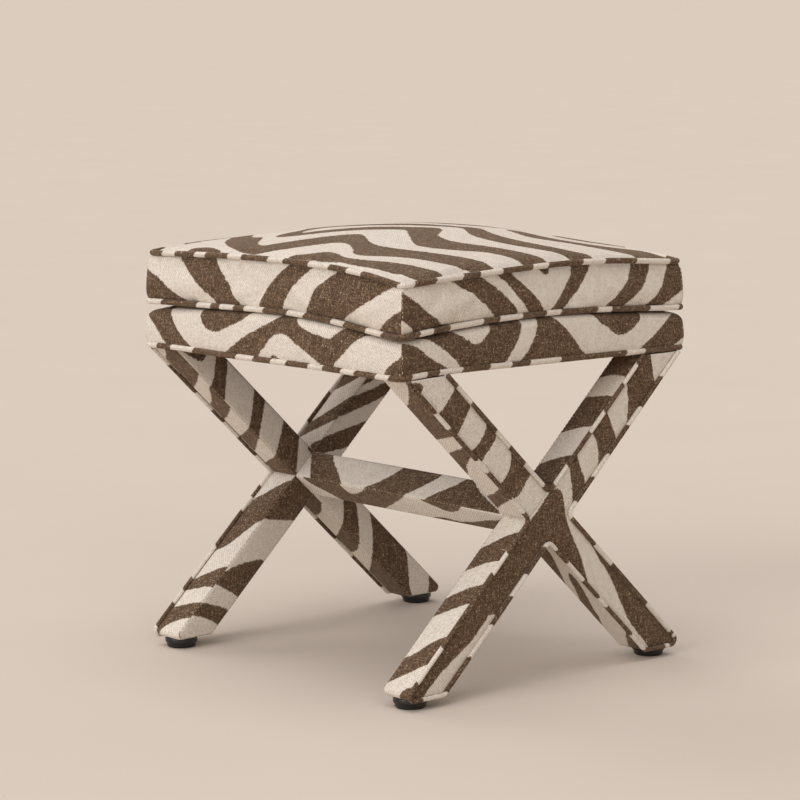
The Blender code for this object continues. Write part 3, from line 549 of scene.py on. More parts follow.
cushionLook = {
    "cells": 80,            # along each side before the subdivision
    "boxingCells": 12,
    "seamSetIn": 0.0034,    # seam line behind the middle of the welt
    "sideDraw": 0.004,      # sides pull in between the corners
    "cornerDraw": 0.0035,   # the top seam pulls in at its corners
    "cornerPower": 10,
    "bulge": 0.0036,
    "pressure": 3.0,
    "slack": 0.010,         # spare cloth, which gathers along the seams
    "cap": 0.004,           # farthest that the cloth run may move a point
    "crownSink": 0.0052,    # the crown starts this much lower, because the cloth run lifts it again
    "crownPower": 1.75,     # a little flatter towards its edges than a plain dome
    "belly": 0.020,         # stuffing of the underside, until it meets the deck
    "restGap": 0.0004,
    "cornerCrease": 0.75,   # corner seams stay crisp
    "stripeBase": 0.430,    # the boxing's stripes are drawn up from here
    "cloth": {"quality": 5, "mass": 0.35, "tension_stiffness": 30, "compression_stiffness": 30,
              "shear_stiffness": 20, "bending_stiffness": 1.5},
    "clothFrames": 20,
}

cushionStripes = {
    "top": {"brown": [
        [(-245, 168), (-222, 166), (-211, 158), (-207, 146), (-208, 132), (-212, 118), (-218, 104),
         (-245, 98)],
        [(-198, -245), (-201, -220), (-206, -198), (-211, -176), (-216, -156), (-217, -138), (-215, -118),
         (-215, -90), (-217, -66), (-220, -46), (-221, -24), (-216, -14), (-211, -28), (-204, -42),
         (-191, -52), (-187, -64), (-190, -78), (-198, -96), (-198, -114), (-194, -132), (-186, -150),
         (-179, -166), (-172, -182), (-165, -204), (-158, -220), (-156, -245)],
        [(-108, -245), (-110, -220), (-124, -208), (-134, -192), (-140, -178), (-149, -160), (-162, -140),
         (-177, -120), (-183, -106), (-179, -90), (-167, -79), (-154, -60), (-145, -42), (-147, -28),
         (-160, -18), (-174, -8), (-188, 2), (-204, 18), (-213, 32), (-219, 44), (-217, 60), (-213, 80),
         (-205, 100), (-194, 120), (-181, 140), (-168, 156), (-152, 170), (-134, 186), (-112, 214),
         (-98, 245), (-52, 245), (-70, 216), (-94, 188), (-116, 166), (-134, 146), (-140, 130), (-138, 119),
         (-148, 109), (-158, 99), (-170, 89), (-180, 79), (-187, 66), (-187, 57), (-176, 50), (-160, 40),
         (-144, 30), (-127, 20), (-112, 9), (-100, -3), (-96, -13), (-101, -24), (-112, -40), (-125, -60),
         (-133, -80), (-132, -100), (-127, -120), (-117, -140), (-106, -160), (-92, -180), (-81, -200),
         (-76, -218), (-76, -245)],
        [(-26, -245), (-28, -220), (-35, -198), (-45, -180), (-56, -170), (-72, -160), (-92, -140),
         (-101, -118), (-98, -108), (-86, -90), (-71, -70), (-56, -50), (-43, -35), (-46, -24), (-56, -10),
         (-62, 0), (-77, 20), (-96, 40), (-119, 60), (-134, 73), (-140, 86), (-137, 98), (-124, 108),
         (-104, 113), (-84, 114), (-70, 122), (-56, 134), (-38, 130), (-30, 112), (-29, 92), (-23, 80),
         (-17, 60), (-8, 40), (6, 20), (17, 0), (27, -20), (40, -40), (50, -50), (55, -60), (50, -71),
         (43, -82), (37, -98), (33, -118), (36, -140), (46, -160), (60, -180), (73, -200), (88, -214),
         (96, -245), (56, -245), (53, -214), (44, -200), (25, -180), (8, -160), (0, -140), (-4, -120),
         (0, -100), (6, -89), (18, -72), (29, -56), (26, -48), (19, -40), (2, -20), (-12, 0), (-23, 20),
         (-31, 40), (-40, 60), (-46, 80), (-52, 92), (-62, 100), (-80, 99), (-97, 92), (-107, 85), (-102, 78),
         (-87, 70), (-75, 60), (-65, 50), (-56, 40), (-42, 20), (-31, 0), (-18, -20), (-4, -38), (1, -46),
         (-8, -60), (-22, -72), (-36, -81), (-43, -92), (-48, -106), (-49, -118), (-44, -132), (-36, -144),
         (-23, -160), (-9, -180), (3, -200), (13, -218), (16, -245)],
        [(160, -245), (158, -218), (146, -202), (136, -190), (124, -179), (107, -160), (93, -149), (82, -139),
         (74, -128), (72, -118), (76, -104), (82, -90), (86, -76), (92, -64), (102, -60), (108, -68),
         (107, -86), (105, -106), (106, -122), (112, -134), (126, -148), (142, -159), (164, -168),
         (190, -174), (212, -178), (218, -200), (222, -245)],
        [(138, -106), (146, -92), (158, -80), (176, -74), (204, -80), (245, -90), (245, -146), (208, -144),
         (180, -142), (160, -134), (145, -122)],
        [(0, 172), (-2, 146), (4, 116), (14, 84), (26, 54), (36, 32), (40, 10), (48, -8), (64, -24),
         (84, -34), (100, -42), (108, -40), (124, -40), (142, -48), (160, -52), (170, -44), (156, -32),
         (132, -18), (110, -4), (88, 14), (68, 38), (52, 66), (40, 94), (30, 124), (22, 152), (12, 178)],
        # beyond the crown, out of the photograph's sight
        [(-20, 245), (-6, 206), (30, 170), (70, 130), (110, 84), (148, 36), (184, -6), (245, -50), (245, -14),
         (206, 28), (172, 72), (134, 122), (92, 166), (54, 204), (36, 245)],
        [(84, 245), (98, 214), (132, 178), (168, 136), (204, 92), (245, 56), (245, 98), (222, 128),
         (188, 170), (152, 212), (138, 245)],
        [(186, 245), (200, 218), (224, 190), (245, 170), (245, 245)],
    ]},
    "left": {"brown": [
        [(-245, 46), (-231, 42), (-215, 38), (-200, 33), (-185, 24), (-165, 13), (-148, 2), (-140, -8),
         (-245, -8)],
        [(-192, 78), (-174, 64), (-160, 54), (-150, 46), (-132, 35), (-115, 22), (-101, 11), (-88, -4),
         (-44, -4), (-55, 12), (-68, 29), (-80, 42), (-92, 53), (-102, 62), (-112, 78)],
        [(48, 80), (28, 64), (12, 52), (-2, 38), (-12, 26), (-22, 12), (-30, -4), (12, -4), (22, 13),
         (32, 26), (42, 38), (54, 50), (70, 64), (86, 80)],
        [(56, -4), (64, 12), (78, 29), (88, 44), (101, 56), (118, 65), (132, 80), (250, 80), (250, 66),
         (214, 52), (196, 44), (176, 33), (156, 22), (136, 12), (112, -4)],
        [(186, -4), (204, 13), (218, 22), (233, 29), (250, 38), (250, -8)],
    ]},
    "near": {"brown": [
        [(-250, 60), (-229, 48), (-212, 38), (-196, 26), (-178, 14), (-156, -2), (-206, -4), (-216, 8),
         (-228, 15), (-250, 30)],
        [(-172, 74), (-150, 57), (-128, 44), (-108, 29), (-92, 17), (-80, 8), (-68, -6), (-34, -6), (-46, 12),
         (-62, 28), (-80, 42), (-98, 54), (-118, 74)],
        [(-102, 76), (-80, 59), (-64, 49), (-54, 38), (-42, 24), (-29, 12), (-18, -4), (10, -4), (-3, 12),
         (-20, 29), (-38, 45), (-56, 59), (-70, 76)],
        [(-22, 80), (-10, 61), (0, 51), (9, 60), (18, 80)],
        [(48, 80), (44, 60), (38, 48), (29, 38), (17, 23), (4, 10), (-6, -6), (18, -6), (30, 13), (46, 27),
         (58, 40), (72, 55), (90, 76)],
        [(152, 78), (145, 57), (138, 46), (124, 29), (108, 16), (86, 0), (112, -6), (130, 8), (150, 22),
         (165, 36), (173, 47), (178, 58), (186, 78)],
        [(214, 78), (207, 54), (201, 40), (190, 26), (178, 15), (164, 2), (185, -4), (205, 8), (220, 15),
         (250, 28), (250, 78)],
    ]},
}


# a cloth run with pressure inside, held along its seams and where it rests on the deck
def fillCover(piece, held, look):
    start = meshPoints(piece.data)
    piece.vertex_groups.new(name="seams").add(held, 1.0, "REPLACE")
    run = piece.modifiers.new("fill", "CLOTH")
    cloth = run.settings
    for key, value in look["cloth"].items():
        setattr(cloth, key, value)
    cloth.vertex_group_mass = "seams"
    cloth.use_pressure = True
    cloth.uniform_pressure_force = look["pressure"]
    cloth.shrink_min = -look["slack"]
    cloth.effector_weights.gravity = 0
    run.collision_settings.use_collision = False
    run.collision_settings.use_self_collision = False
    for number in range(1, look["clothFrames"] + 1):
        scene.frame_set(number)
    filled = piece.evaluated_get(bpy.context.evaluated_depsgraph_get())
    move = meshPoints(filled.to_mesh()) - start
    filled.to_mesh_clear()
    piece.modifiers.remove(run)
    far = np.linalg.norm(move, axis=1)
    farthest, mean = (round(float(d) * 1000, 2) for d in (far.max(), far.mean()))
    print("cloth run moved up to", farthest, "mm, mean", mean)
    move *= np.minimum(1.0, look["cap"] / np.maximum(far, 1e-9))[:, None]
    end = start + move
    floorOf = deckTop + padRise(end[:, 0], end[:, 1]) + lidRise(end[:, 0], end[:, 1])
    end[:, 2] = np.maximum(end[:, 2], floorOf + look["restGap"])
    piece.data.vertices.foreach_set("co", end.ravel())
    scene.frame_set(1)


def makeCushion(look):
    seam = weltHalf - look["seamSetIn"]
    grid = np.linspace(-1, 1, look["cells"] + 1)
    crown = crownTop - topCorner - 2 * topRise
    bm = bmesh.new()
    crease = bm.edges.layers.float.new("crease_edge")
    # top and bottom
    v, u = np.meshgrid(grid, grid)
    planX = u * (seam - look["sideDraw"] * hump(v))
    planY = v * (seam - look["sideDraw"] * hump(u))
    full = (1 - np.abs(u) ** look["crownPower"]) * (1 - np.abs(v) ** look["crownPower"])
    topZ = topCorner + topRise * (hump(u) + hump(v)) + (crown - look["crownSink"]) * full
    both = hump(u) * hump(v)
    lowZ = lowCorner + lowRise * (hump(u) + hump(v) - both) - look["belly"] * both
    lowZ = np.maximum(lowZ, deckTop + padRise(planX, planY) + look["restGap"])
    lowZ = lowZ + seatRise("bottom", planX, planY)
    topZ = topZ + seatRise("top", planX, planY)
    plan = np.stack((planX, planY), -1) * 1000
    drawn = look["cornerDraw"] * np.abs(u * v) ** look["cornerPower"]
    top = np.stack((planX - np.sign(u) * drawn, planY - np.sign(v) * drawn, topZ), -1)
    addSheet(bm, top, plan, 0, (0, 0, 1))
    addSheet(bm, np.stack((planX, planY, lowZ), -1), plan, 5, (0, 0, -1))
    # boxings
    a, w = np.meshgrid(grid, np.linspace(-1, 1, look["boxingCells"] + 1), indexing="ij")
    stand = seam + (boxingHalf - seam) * (1 - w ** 6)
    push = look["bulge"] * (1 - w ** 2) * (1 - np.abs(a) ** 6) - look["sideDraw"] * hump(a)
    for k, (name, (along, out)) in enumerate(seatSides.items()):
        edge = (a * seam)[..., None] * along + (seam - look["sideDraw"] * hump(a))[..., None] * out
        lowEdge = lowCorner + lowRise * hump(a) + seatRise("bottom", edge[..., 0], edge[..., 1])
        highEdge = topCorner + topRise * hump(a) + seatRise("top", edge[..., 0], edge[..., 1])
        z = lowEdge + (highEdge - lowEdge) * (w + 1) / 2
        drawn = look["cornerDraw"] * np.abs(a) ** look["cornerPower"] * ((w + 1) / 2) ** 2
        spot = (a * stand - np.sign(a) * drawn)[..., None] * along + (stand + push - drawn)[..., None] * out
        cloth = np.stack((a * stand * 1000, (z - look["stripeBase"]) * 1000), -1)
        if name in ("right", "far"):
            cloth[..., 0] *= -1
        addSheet(bm, np.concatenate((spot, z[..., None]), -1), cloth, k + 1, (*out, 0))
    bmesh.ops.remove_doubles(bm, verts=bm.verts, dist=weldDistance)
    bm.verts.ensure_lookup_table()
    corner = seam * 0.97    # farther out lie only the corner seams
    for edge in bm.edges:
        first, second = (vert.co for vert in edge.verts)
        middle = (first + second) / 2
        steep = abs(first.z - second.z) > 0.6 * edge.calc_length()
        if abs(middle.x) > corner and abs(middle.y) > corner and steep:
            edge[crease] = look["cornerCrease"]
    bm.normal_update()
    held = []
    for vert in bm.verts:
        x, y, height = vert.co
        onCorner = abs(x) > corner and abs(y) > corner
        resting = height < deckTop + padRise(x, y) + seatRise("bottom", x, y) + look["restGap"] * 1.5
        normals = [f.normal for f in vert.link_faces]
        onSeam = min(p.dot(q) for p in normals for q in normals) < 0.5
        if onCorner or resting or onSeam:
            held.append(vert.index)
    print("cushion grid:", len(bm.verts), "points,", len(held), "held")
    piece = addObject("cushion_cover", bm)
    fillCover(piece, held, look)
    # one subdivision, then the stripes on the finer mesh
    finer = piece.modifiers.new("finer", "SUBSURF")
    finer.levels = finer.render_levels = 1
    smooth = bpy.data.meshes.new_from_object(piece.evaluated_get(bpy.context.evaluated_depsgraph_get()))
    piece.modifiers.clear()
    piece.vertex_groups.clear()
    piece.data = smooth
    smooth.name = "cushion_cover"
    smooth.shade_smooth()
    smooth.materials.append(zebraCotton)
    paintStripes(smooth, [cushionStripes[p] for p in ("top", "near", "left", "near", "left", "top")])
    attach(piece, "cushion")
    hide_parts("cushion_foam", "cushion_top_panel", "cushion_bottom_panel",
                *["cushion_boxing_" + s for s in ("near", "far", "left", "right")])


makeCushion(cushionLook)
print("cushion made")


# welts round the seat: cord in bias cut strips of the same cloth, so brown and cream follow each other

seatWelts = {
    "cornerBend": 0.008,
    "stepMm": 3.0,
    "sides": 14,
    # brown stretches along each side, by x (near), y (right), -x (far) and -y (left)
    "cushion_top_cord": {"replaces": "cushion_top_welt", "body": "cushion", "level": "top",
        "near": [(-213, -179), (-137, -109), (-74, -25), (0, 58), (95, 148), (208, 231)],
        "right": [(-231, -210), (-138, -16), (60, 110), (150, 200)],
        "far": [(-222, -190), (-150, -116), (-85, -40), (0, 40), (99, 173), (206, 231)],
        "left": [(-231, -199), (-173, -136), (-116, -74), (-49, -1), (27, 72), (108, 139), (165, 228)]},
    "cushion_bottom_cord": {"replaces": "cushion_bottom_welt", "body": "cushion", "level": "bottom",
        "near": [(-240, -205), (-184, -158), (-105, -78), (-41, -2), (22, 83), (107, 172), (221, 231)],
        "right": [(-231, -214), (-168, -120), (-84, -40), (6, 52), (96, 140), (188, 222)],
        "far": [(-226, -196), (-158, -108), (-70, -20), (25, 85), (130, 190)],
        "left": [(-200, -133), (-107, -90), (-65, -45), (-10, 33), (63, 112), (134, 173), (200, 240)]},
    "deck_cord": {"replaces": "deck_welt", "body": "stool_frame", "level": "deck",
        "near": [(-240, -218), (-195, -176), (-140, -97), (-62, -32), (18, 130), (162, 232)],
        "right": [(-232, -196), (-150, -96), (-52, 4), (50, 92), (134, 176)],
        "far": [(-228, -180), (-130, -60), (-20, 40), (80, 120), (150, 195)],
        "left": [(-208, -181), (-138, -56), (-25, 8), (35, 75), (100, 132), (155, 191), (213, 240)]},
}


def makeSeatWelt(name, cornerZ, lift, draw, inset):
    look = seatWelts[name]
    bend, level = seatWelts["cornerBend"], look["level"]
    straight = weltHalf - bend
    lap = 2 * weltHalf * 1000
    steps = round(2 * straight * 1000 / seatWelts["stepMm"])
    path, outs, along, stretches = [], [], [], []
    for k, (side, (forward, out)) in enumerate(seatSides.items()):
        for start, end in look[side]:
            for wrap in (-4 * lap, 0, 4 * lap):
                stretches.append((k * lap + start + lap / 2 + wrap, k * lap + end + lap / 2 + wrap))
        for a in np.arange(-straight, straight + 1e-6, 2 * straight / steps):
            rise = hump(a / straight)
            pull = inset * abs(a / straight) ** cushionLook["cornerPower"]
            spot = forward * (a - math.copysign(pull, a)) + out * (weltHalf - draw * rise - pull)
            path.append((*spot, cornerZ + lift * rise + seatRise(level, *spot)))
            outs.append((*out, 0))
            along.append(k * lap + (a + weltHalf) * 1000)
        for turn in np.linspace(0, math.pi / 2, 8)[1:-1]:
            spoke = out * math.cos(turn) + forward * math.sin(turn)
            spot = (forward + out) * (straight - inset) + spoke * bend
            path.append((*spot, cornerZ + seatRise(level, *spot)))
            outs.append((*spoke, 0))
            along.append(k * lap + lap + (turn / (math.pi / 2) - 0.5) * bend * 1000 * math.pi / 2)
    bm = bmesh.new()
    addCord(bm, path, outs, weltRadius, np.array(along), stretchDepth(stretches), True, seatWelts["sides"])
    addPiece(name, bm, zebraCotton, look["body"], [look["replaces"]])


makeSeatWelt("cushion_top_cord", topCorner, topRise, cushionLook["sideDraw"], cushionLook["cornerDraw"])
makeSeatWelt("cushion_bottom_cord", lowCorner, lowRise, cushionLook["sideDraw"], 0.0)
makeSeatWelt("deck_cord", deckWeltZ, 0.0, 0.0, 0.0)
print("seat welts made")


# seat deck: boxing that rolls over a soft edge, and the plain lining under the cushion

deckLook = {
    "cells": 150,
    "edgeRadius": 0.010,
    "lip": 0.014,           # how far the striped cloth runs in over the edge
    "lipDrop": 0.0002,
    "bulge": 0.0012,
    "seamDip": 0.0006,      # corner seams lie a little in
    "seamShare": 0.02,      # of half a side
    "hem": 0.001,           # the boxing starts this far below the middle of its cord
    "tuck": 0.003,          # and turns in behind it, up to about this height
    "tuckHeight": 0.0032,
    "gather": 0.00035,      # small gathers where the cloth is pulled down under the welt
    "gatherHeight": 0.012,
    "gatherWaves": (61, 23),
    "clothThick": 0.0011,
    "liningLap": 0.002,
    "liningDrop": 0.0012,
    "liningThick": 0.006,
    "sag": 0.0006,          # the lining is a little hollow under the cushion's weight
}

deckStripes = {
    "left": {"brown": [
        [(-255, 66), (-232, 45), (-214, 32), (-203, 21), (-191, 8), (-184, -6), (-112, -6), (-140, 8),
         (-153, 17), (-167, 28), (-178, 40), (-187, 52), (-196, 72)],
        [(-130, 78), (-127, 52), (-120, 40), (-112, 35), (-100, 33), (-88, 34), (-75, 40), (-60, 46),
         (-44, 51), (-20, 78)],
        [(-104, -6), (-80, 9), (-62, 20), (-46, 30), (-27, 39), (-7, 48), (13, 56), (28, 74), (40, 74),
         (53, 55), (73, 48), (92, 45), (108, 42), (119, 47), (132, 60), (140, 74), (200, 74), (167, 51),
         (153, 43), (142, 34), (127, 21), (110, 7), (99, 8), (87, 16), (67, 25), (50, 33), (37, 40), (23, 42),
         (10, 37), (0, 28), (-11, 17), (-24, 6), (-36, -6)],
        [(-6, -4), (2, 8), (9, 16), (17, 13), (25, 8), (34, -4)],
        [(190, -6), (203, 12), (213, 22), (228, 31), (250, 46), (250, -6)],
    ]},
    "near": {"brown": [
        [(-250, 62), (-224, 50), (-204, 41), (-189, 28), (-166, 17), (-140, 4), (-120, -8), (-250, -8)],
        [(-225, 74), (-192, 52), (-176, 42), (-160, 31), (-144, 18), (-130, 0), (-84, -6), (-70, 14),
         (-59, 28), (-49, 40), (-44, 54), (-42, 76), (-82, 76), (-95, 51), (-108, 41), (-118, 37), (-130, 44),
         (-145, 53), (-172, 76)],
        [(-14, 76), (-18, 52), (-23, 41), (-33, 26), (-48, 11), (-66, -6), (78, -6), (62, 11), (52, 19),
         (42, 31), (30, 43), (14, 56), (2, 76)],
        [(70, 78), (80, 50), (97, 42), (107, 34), (118, 29), (133, 32), (148, 39), (158, 48), (168, 78)],
        [(255, 66), (214, 49), (194, 36), (177, 24), (150, 8), (138, -6), (196, -6), (213, 10), (232, 18),
         (255, 26)],
    ]},
}


def makeDeck(look):
    # section of the boxing from the welt up, over the rolled edge and in under the cushion
    radius = look["edgeRadius"]
    low = deckWeltZ - look["hem"]
    section = []
    for t in (0, 0.04, 0.08, 0.13, 0.2, 0.3, 0.4, 0.5, 0.6, 0.7, 0.8, 0.9, 1):
        climb = (deckTop - radius - low) * t
        tucked = look["tuck"] * math.exp(-climb / look["tuckHeight"])
        section.append((boxingHalf + look["bulge"] * math.sin(math.pi * t) - tucked, low + climb))
    for turn in np.linspace(0, math.pi / 2, 8)[1:]:
        section.append((boxingHalf - radius + radius * math.cos(turn),
                        deckTop - radius + radius * math.sin(turn)))
    for t in (0.5, 1.0):
        section.append((boxingHalf - radius - (look["lip"] - radius * 0.4) * t, deckTop - look["lipDrop"] * t))
    section = np.array(section)
    # share of the pad's rise, none at the welt
    share = np.clip((section[:, 1] - low) / (deckTop - radius - low), 0, 1)
    grid = np.linspace(-1, 1, look["cells"] + 1)
    bm = bmesh.new()
    for k, (name, (along, out)) in enumerate(seatSides.items()):
        a, stand = np.meshgrid(grid, section[:, 0], indexing="ij")
        plan = (a * stand)[..., None] * along + stand[..., None] * out
        x, y = plan[..., 0], plan[..., 1]
        z = section[:, 1] + share * (padRise(x, y) + lidRise(x, y)) + (1 - share) * seatRise("deck", x, y)
        length = np.hypot(np.diff(stand, axis=1), np.diff(z, axis=1))
        up = np.concatenate((np.zeros((len(grid), 1)), np.cumsum(length, axis=1)), 1)
        short, long = look["gatherWaves"]
        gather = look["gather"] * np.sin(a * short) * np.sin(a * long + 1)
        gather = gather * np.exp(-up / look["gatherHeight"]) * (1 - np.abs(a) ** 8)
        dip = look["seamDip"] * (1 - np.minimum(1.0, (1 - np.abs(a)) / look["seamShare"]))
        spot = (a * (stand - dip))[..., None] * along + (stand + gather - dip)[..., None] * out
        cloth = np.stack((a * stand * 1000, (z[:, :1] - deckBase + up) * 1000), -1)
        if name in ("right", "far"):
            cloth[..., 0] *= -1
        addSheet(bm, np.concatenate((spot, z[..., None]), -1), cloth, k, (*out, 0.3))
    cover = addPiece("deck_cover", bm, zebraCotton, "stool_frame",
                     ["deck_boxing_" + s for s in ("near", "far", "left", "right")],
                     [deckStripes[s] for s in ("near", "left", "near", "left")], look["clothThick"])
    # lining between the lips
    half = section[-1, 0] + look["liningLap"]
    grid = np.linspace(-half, half, 61)
    x, y = np.meshgrid(grid, grid, indexing="ij")
    hollow = look["sag"] * hump(x / half) * hump(y / half)
    z = deckTop + padRise(x, y) + lidRise(x, y) - look["liningDrop"] - hollow
    bm = bmesh.new()
    addSheet(bm, np.stack((x, y, z), -1), np.stack((x, y), -1) * 1000, 0, (0, 0, 1))
    lining = addPiece("deck_lining", bm, finish["deck_lining_cotton"], "stool_frame",
                      ["deck_top_cloth", "deck_foam"], None, look["liningThick"])


makeDeck(deckLook)
print("seat deck made")


# corner seams of cushion and deck, sewn with pale thread beside the corner
cornerStitches = {
    "stitchPitch": 0.0052, "stitchLength": 0.0031, "stitchRadius": 0.0005,
    "beside": 0.0018, "sink": 0.0002,
    "cordGap": 0.005,       # seams stop this far from the cords
    "rollGap": 0.012,       # and this far below the deck's rolled edge
    "deckOut": 0.0004,
}


def makeCornerStitches(name, body, levels, lowZ, highZ, stand):
    look = cornerStitches
    bm = bmesh.new()
    for sx in (-1, 1):
        for sy in (-1, 1):
            lowUp, highUp = (float(seatRise(level, sx * weltHalf, sy * weltHalf)) for level in levels)
            points = []
            for t in np.linspace(0, 1, 24):
                h = lowZ + (highZ - lowZ) * t
                points.append((sx * (stand(h) - look["beside"]), sy * (stand(h) - look["sink"]),
                               h + lowUp + (highUp - lowUp) * t))
            stitchLine(bm, points, [(0.1 * sx, sy, 0)] * len(points), look)
    addPiece(name, bm, finish["sewing_thread"], body)


def cushionCornerAt(z):
    w = (z - lowCorner) / (topCorner - lowCorner) * 2 - 1
    seam = weltHalf - cushionLook["seamSetIn"]
    return seam + (boxingHalf - seam) * (1 - abs(w) ** 6) - cushionLook["cornerDraw"] * ((w + 1) / 2) ** 2


makeCornerStitches("cushion_corner_stitches", "cushion", ("bottom", "top"),
                   lowCorner + cornerStitches["cordGap"], topCorner - cornerStitches["cordGap"],
                   cushionCornerAt)
makeCornerStitches("deck_corner_stitches", "stool_frame", ("deck", "bottom"),
                   deckWeltZ + cornerStitches["cordGap"], deckTop - cornerStitches["rollGap"],
                   lambda z: boxingHalf + cornerStitches["deckOut"])
print("corner seams sewn")


# x frames: padded outer and inner panels, edge strips, welts round the outer face, topstitch on the inner edges

frameLook = {
    "stepMm": 3.6,
    "across": 18,           # cells over the width of a leg
    "foldRadius": 0.0026,   # inner edges fold over this radius
    "pad": 0.0013,          # wadding under the cloth
    "padRun": 0.007,        # the panels' wadding swells over this distance from the edge
    "stripPad": 0.7,        # share of it under the strips
    "creaseDepth": 0.0013,  # the cloth dips beside the cords
    "creaseWidth": 0.0038,
    "seamDip": 0.0002,      # and a little along the topstitched seams
    "seamWidth": 0.0012,
    "notchBend": 0.008,
    "stripNotchBend": 0.0015,
    "notchGroove": 0.0014,  # strips are tucked in where the legs cross
    "grooveWidth": 0.0009,
    "toeBend": 0.006,
    "heelBend": 0.003,
    "cordRadius": 0.00275,
    "cordStepMm": 3.0,
    "cordSides": 12,
    "clothThick": 0.0011,
    "stitchPitch": 0.0056,
    "stitchLength": 0.0034,
    "stitchRadius": 0.00026,
    "stitchSink": 0.0001,
    "stitchStepMm": 4.0,
    "risePart": 0.06,       # length of leg that reaches up to the deck's lower edge
}

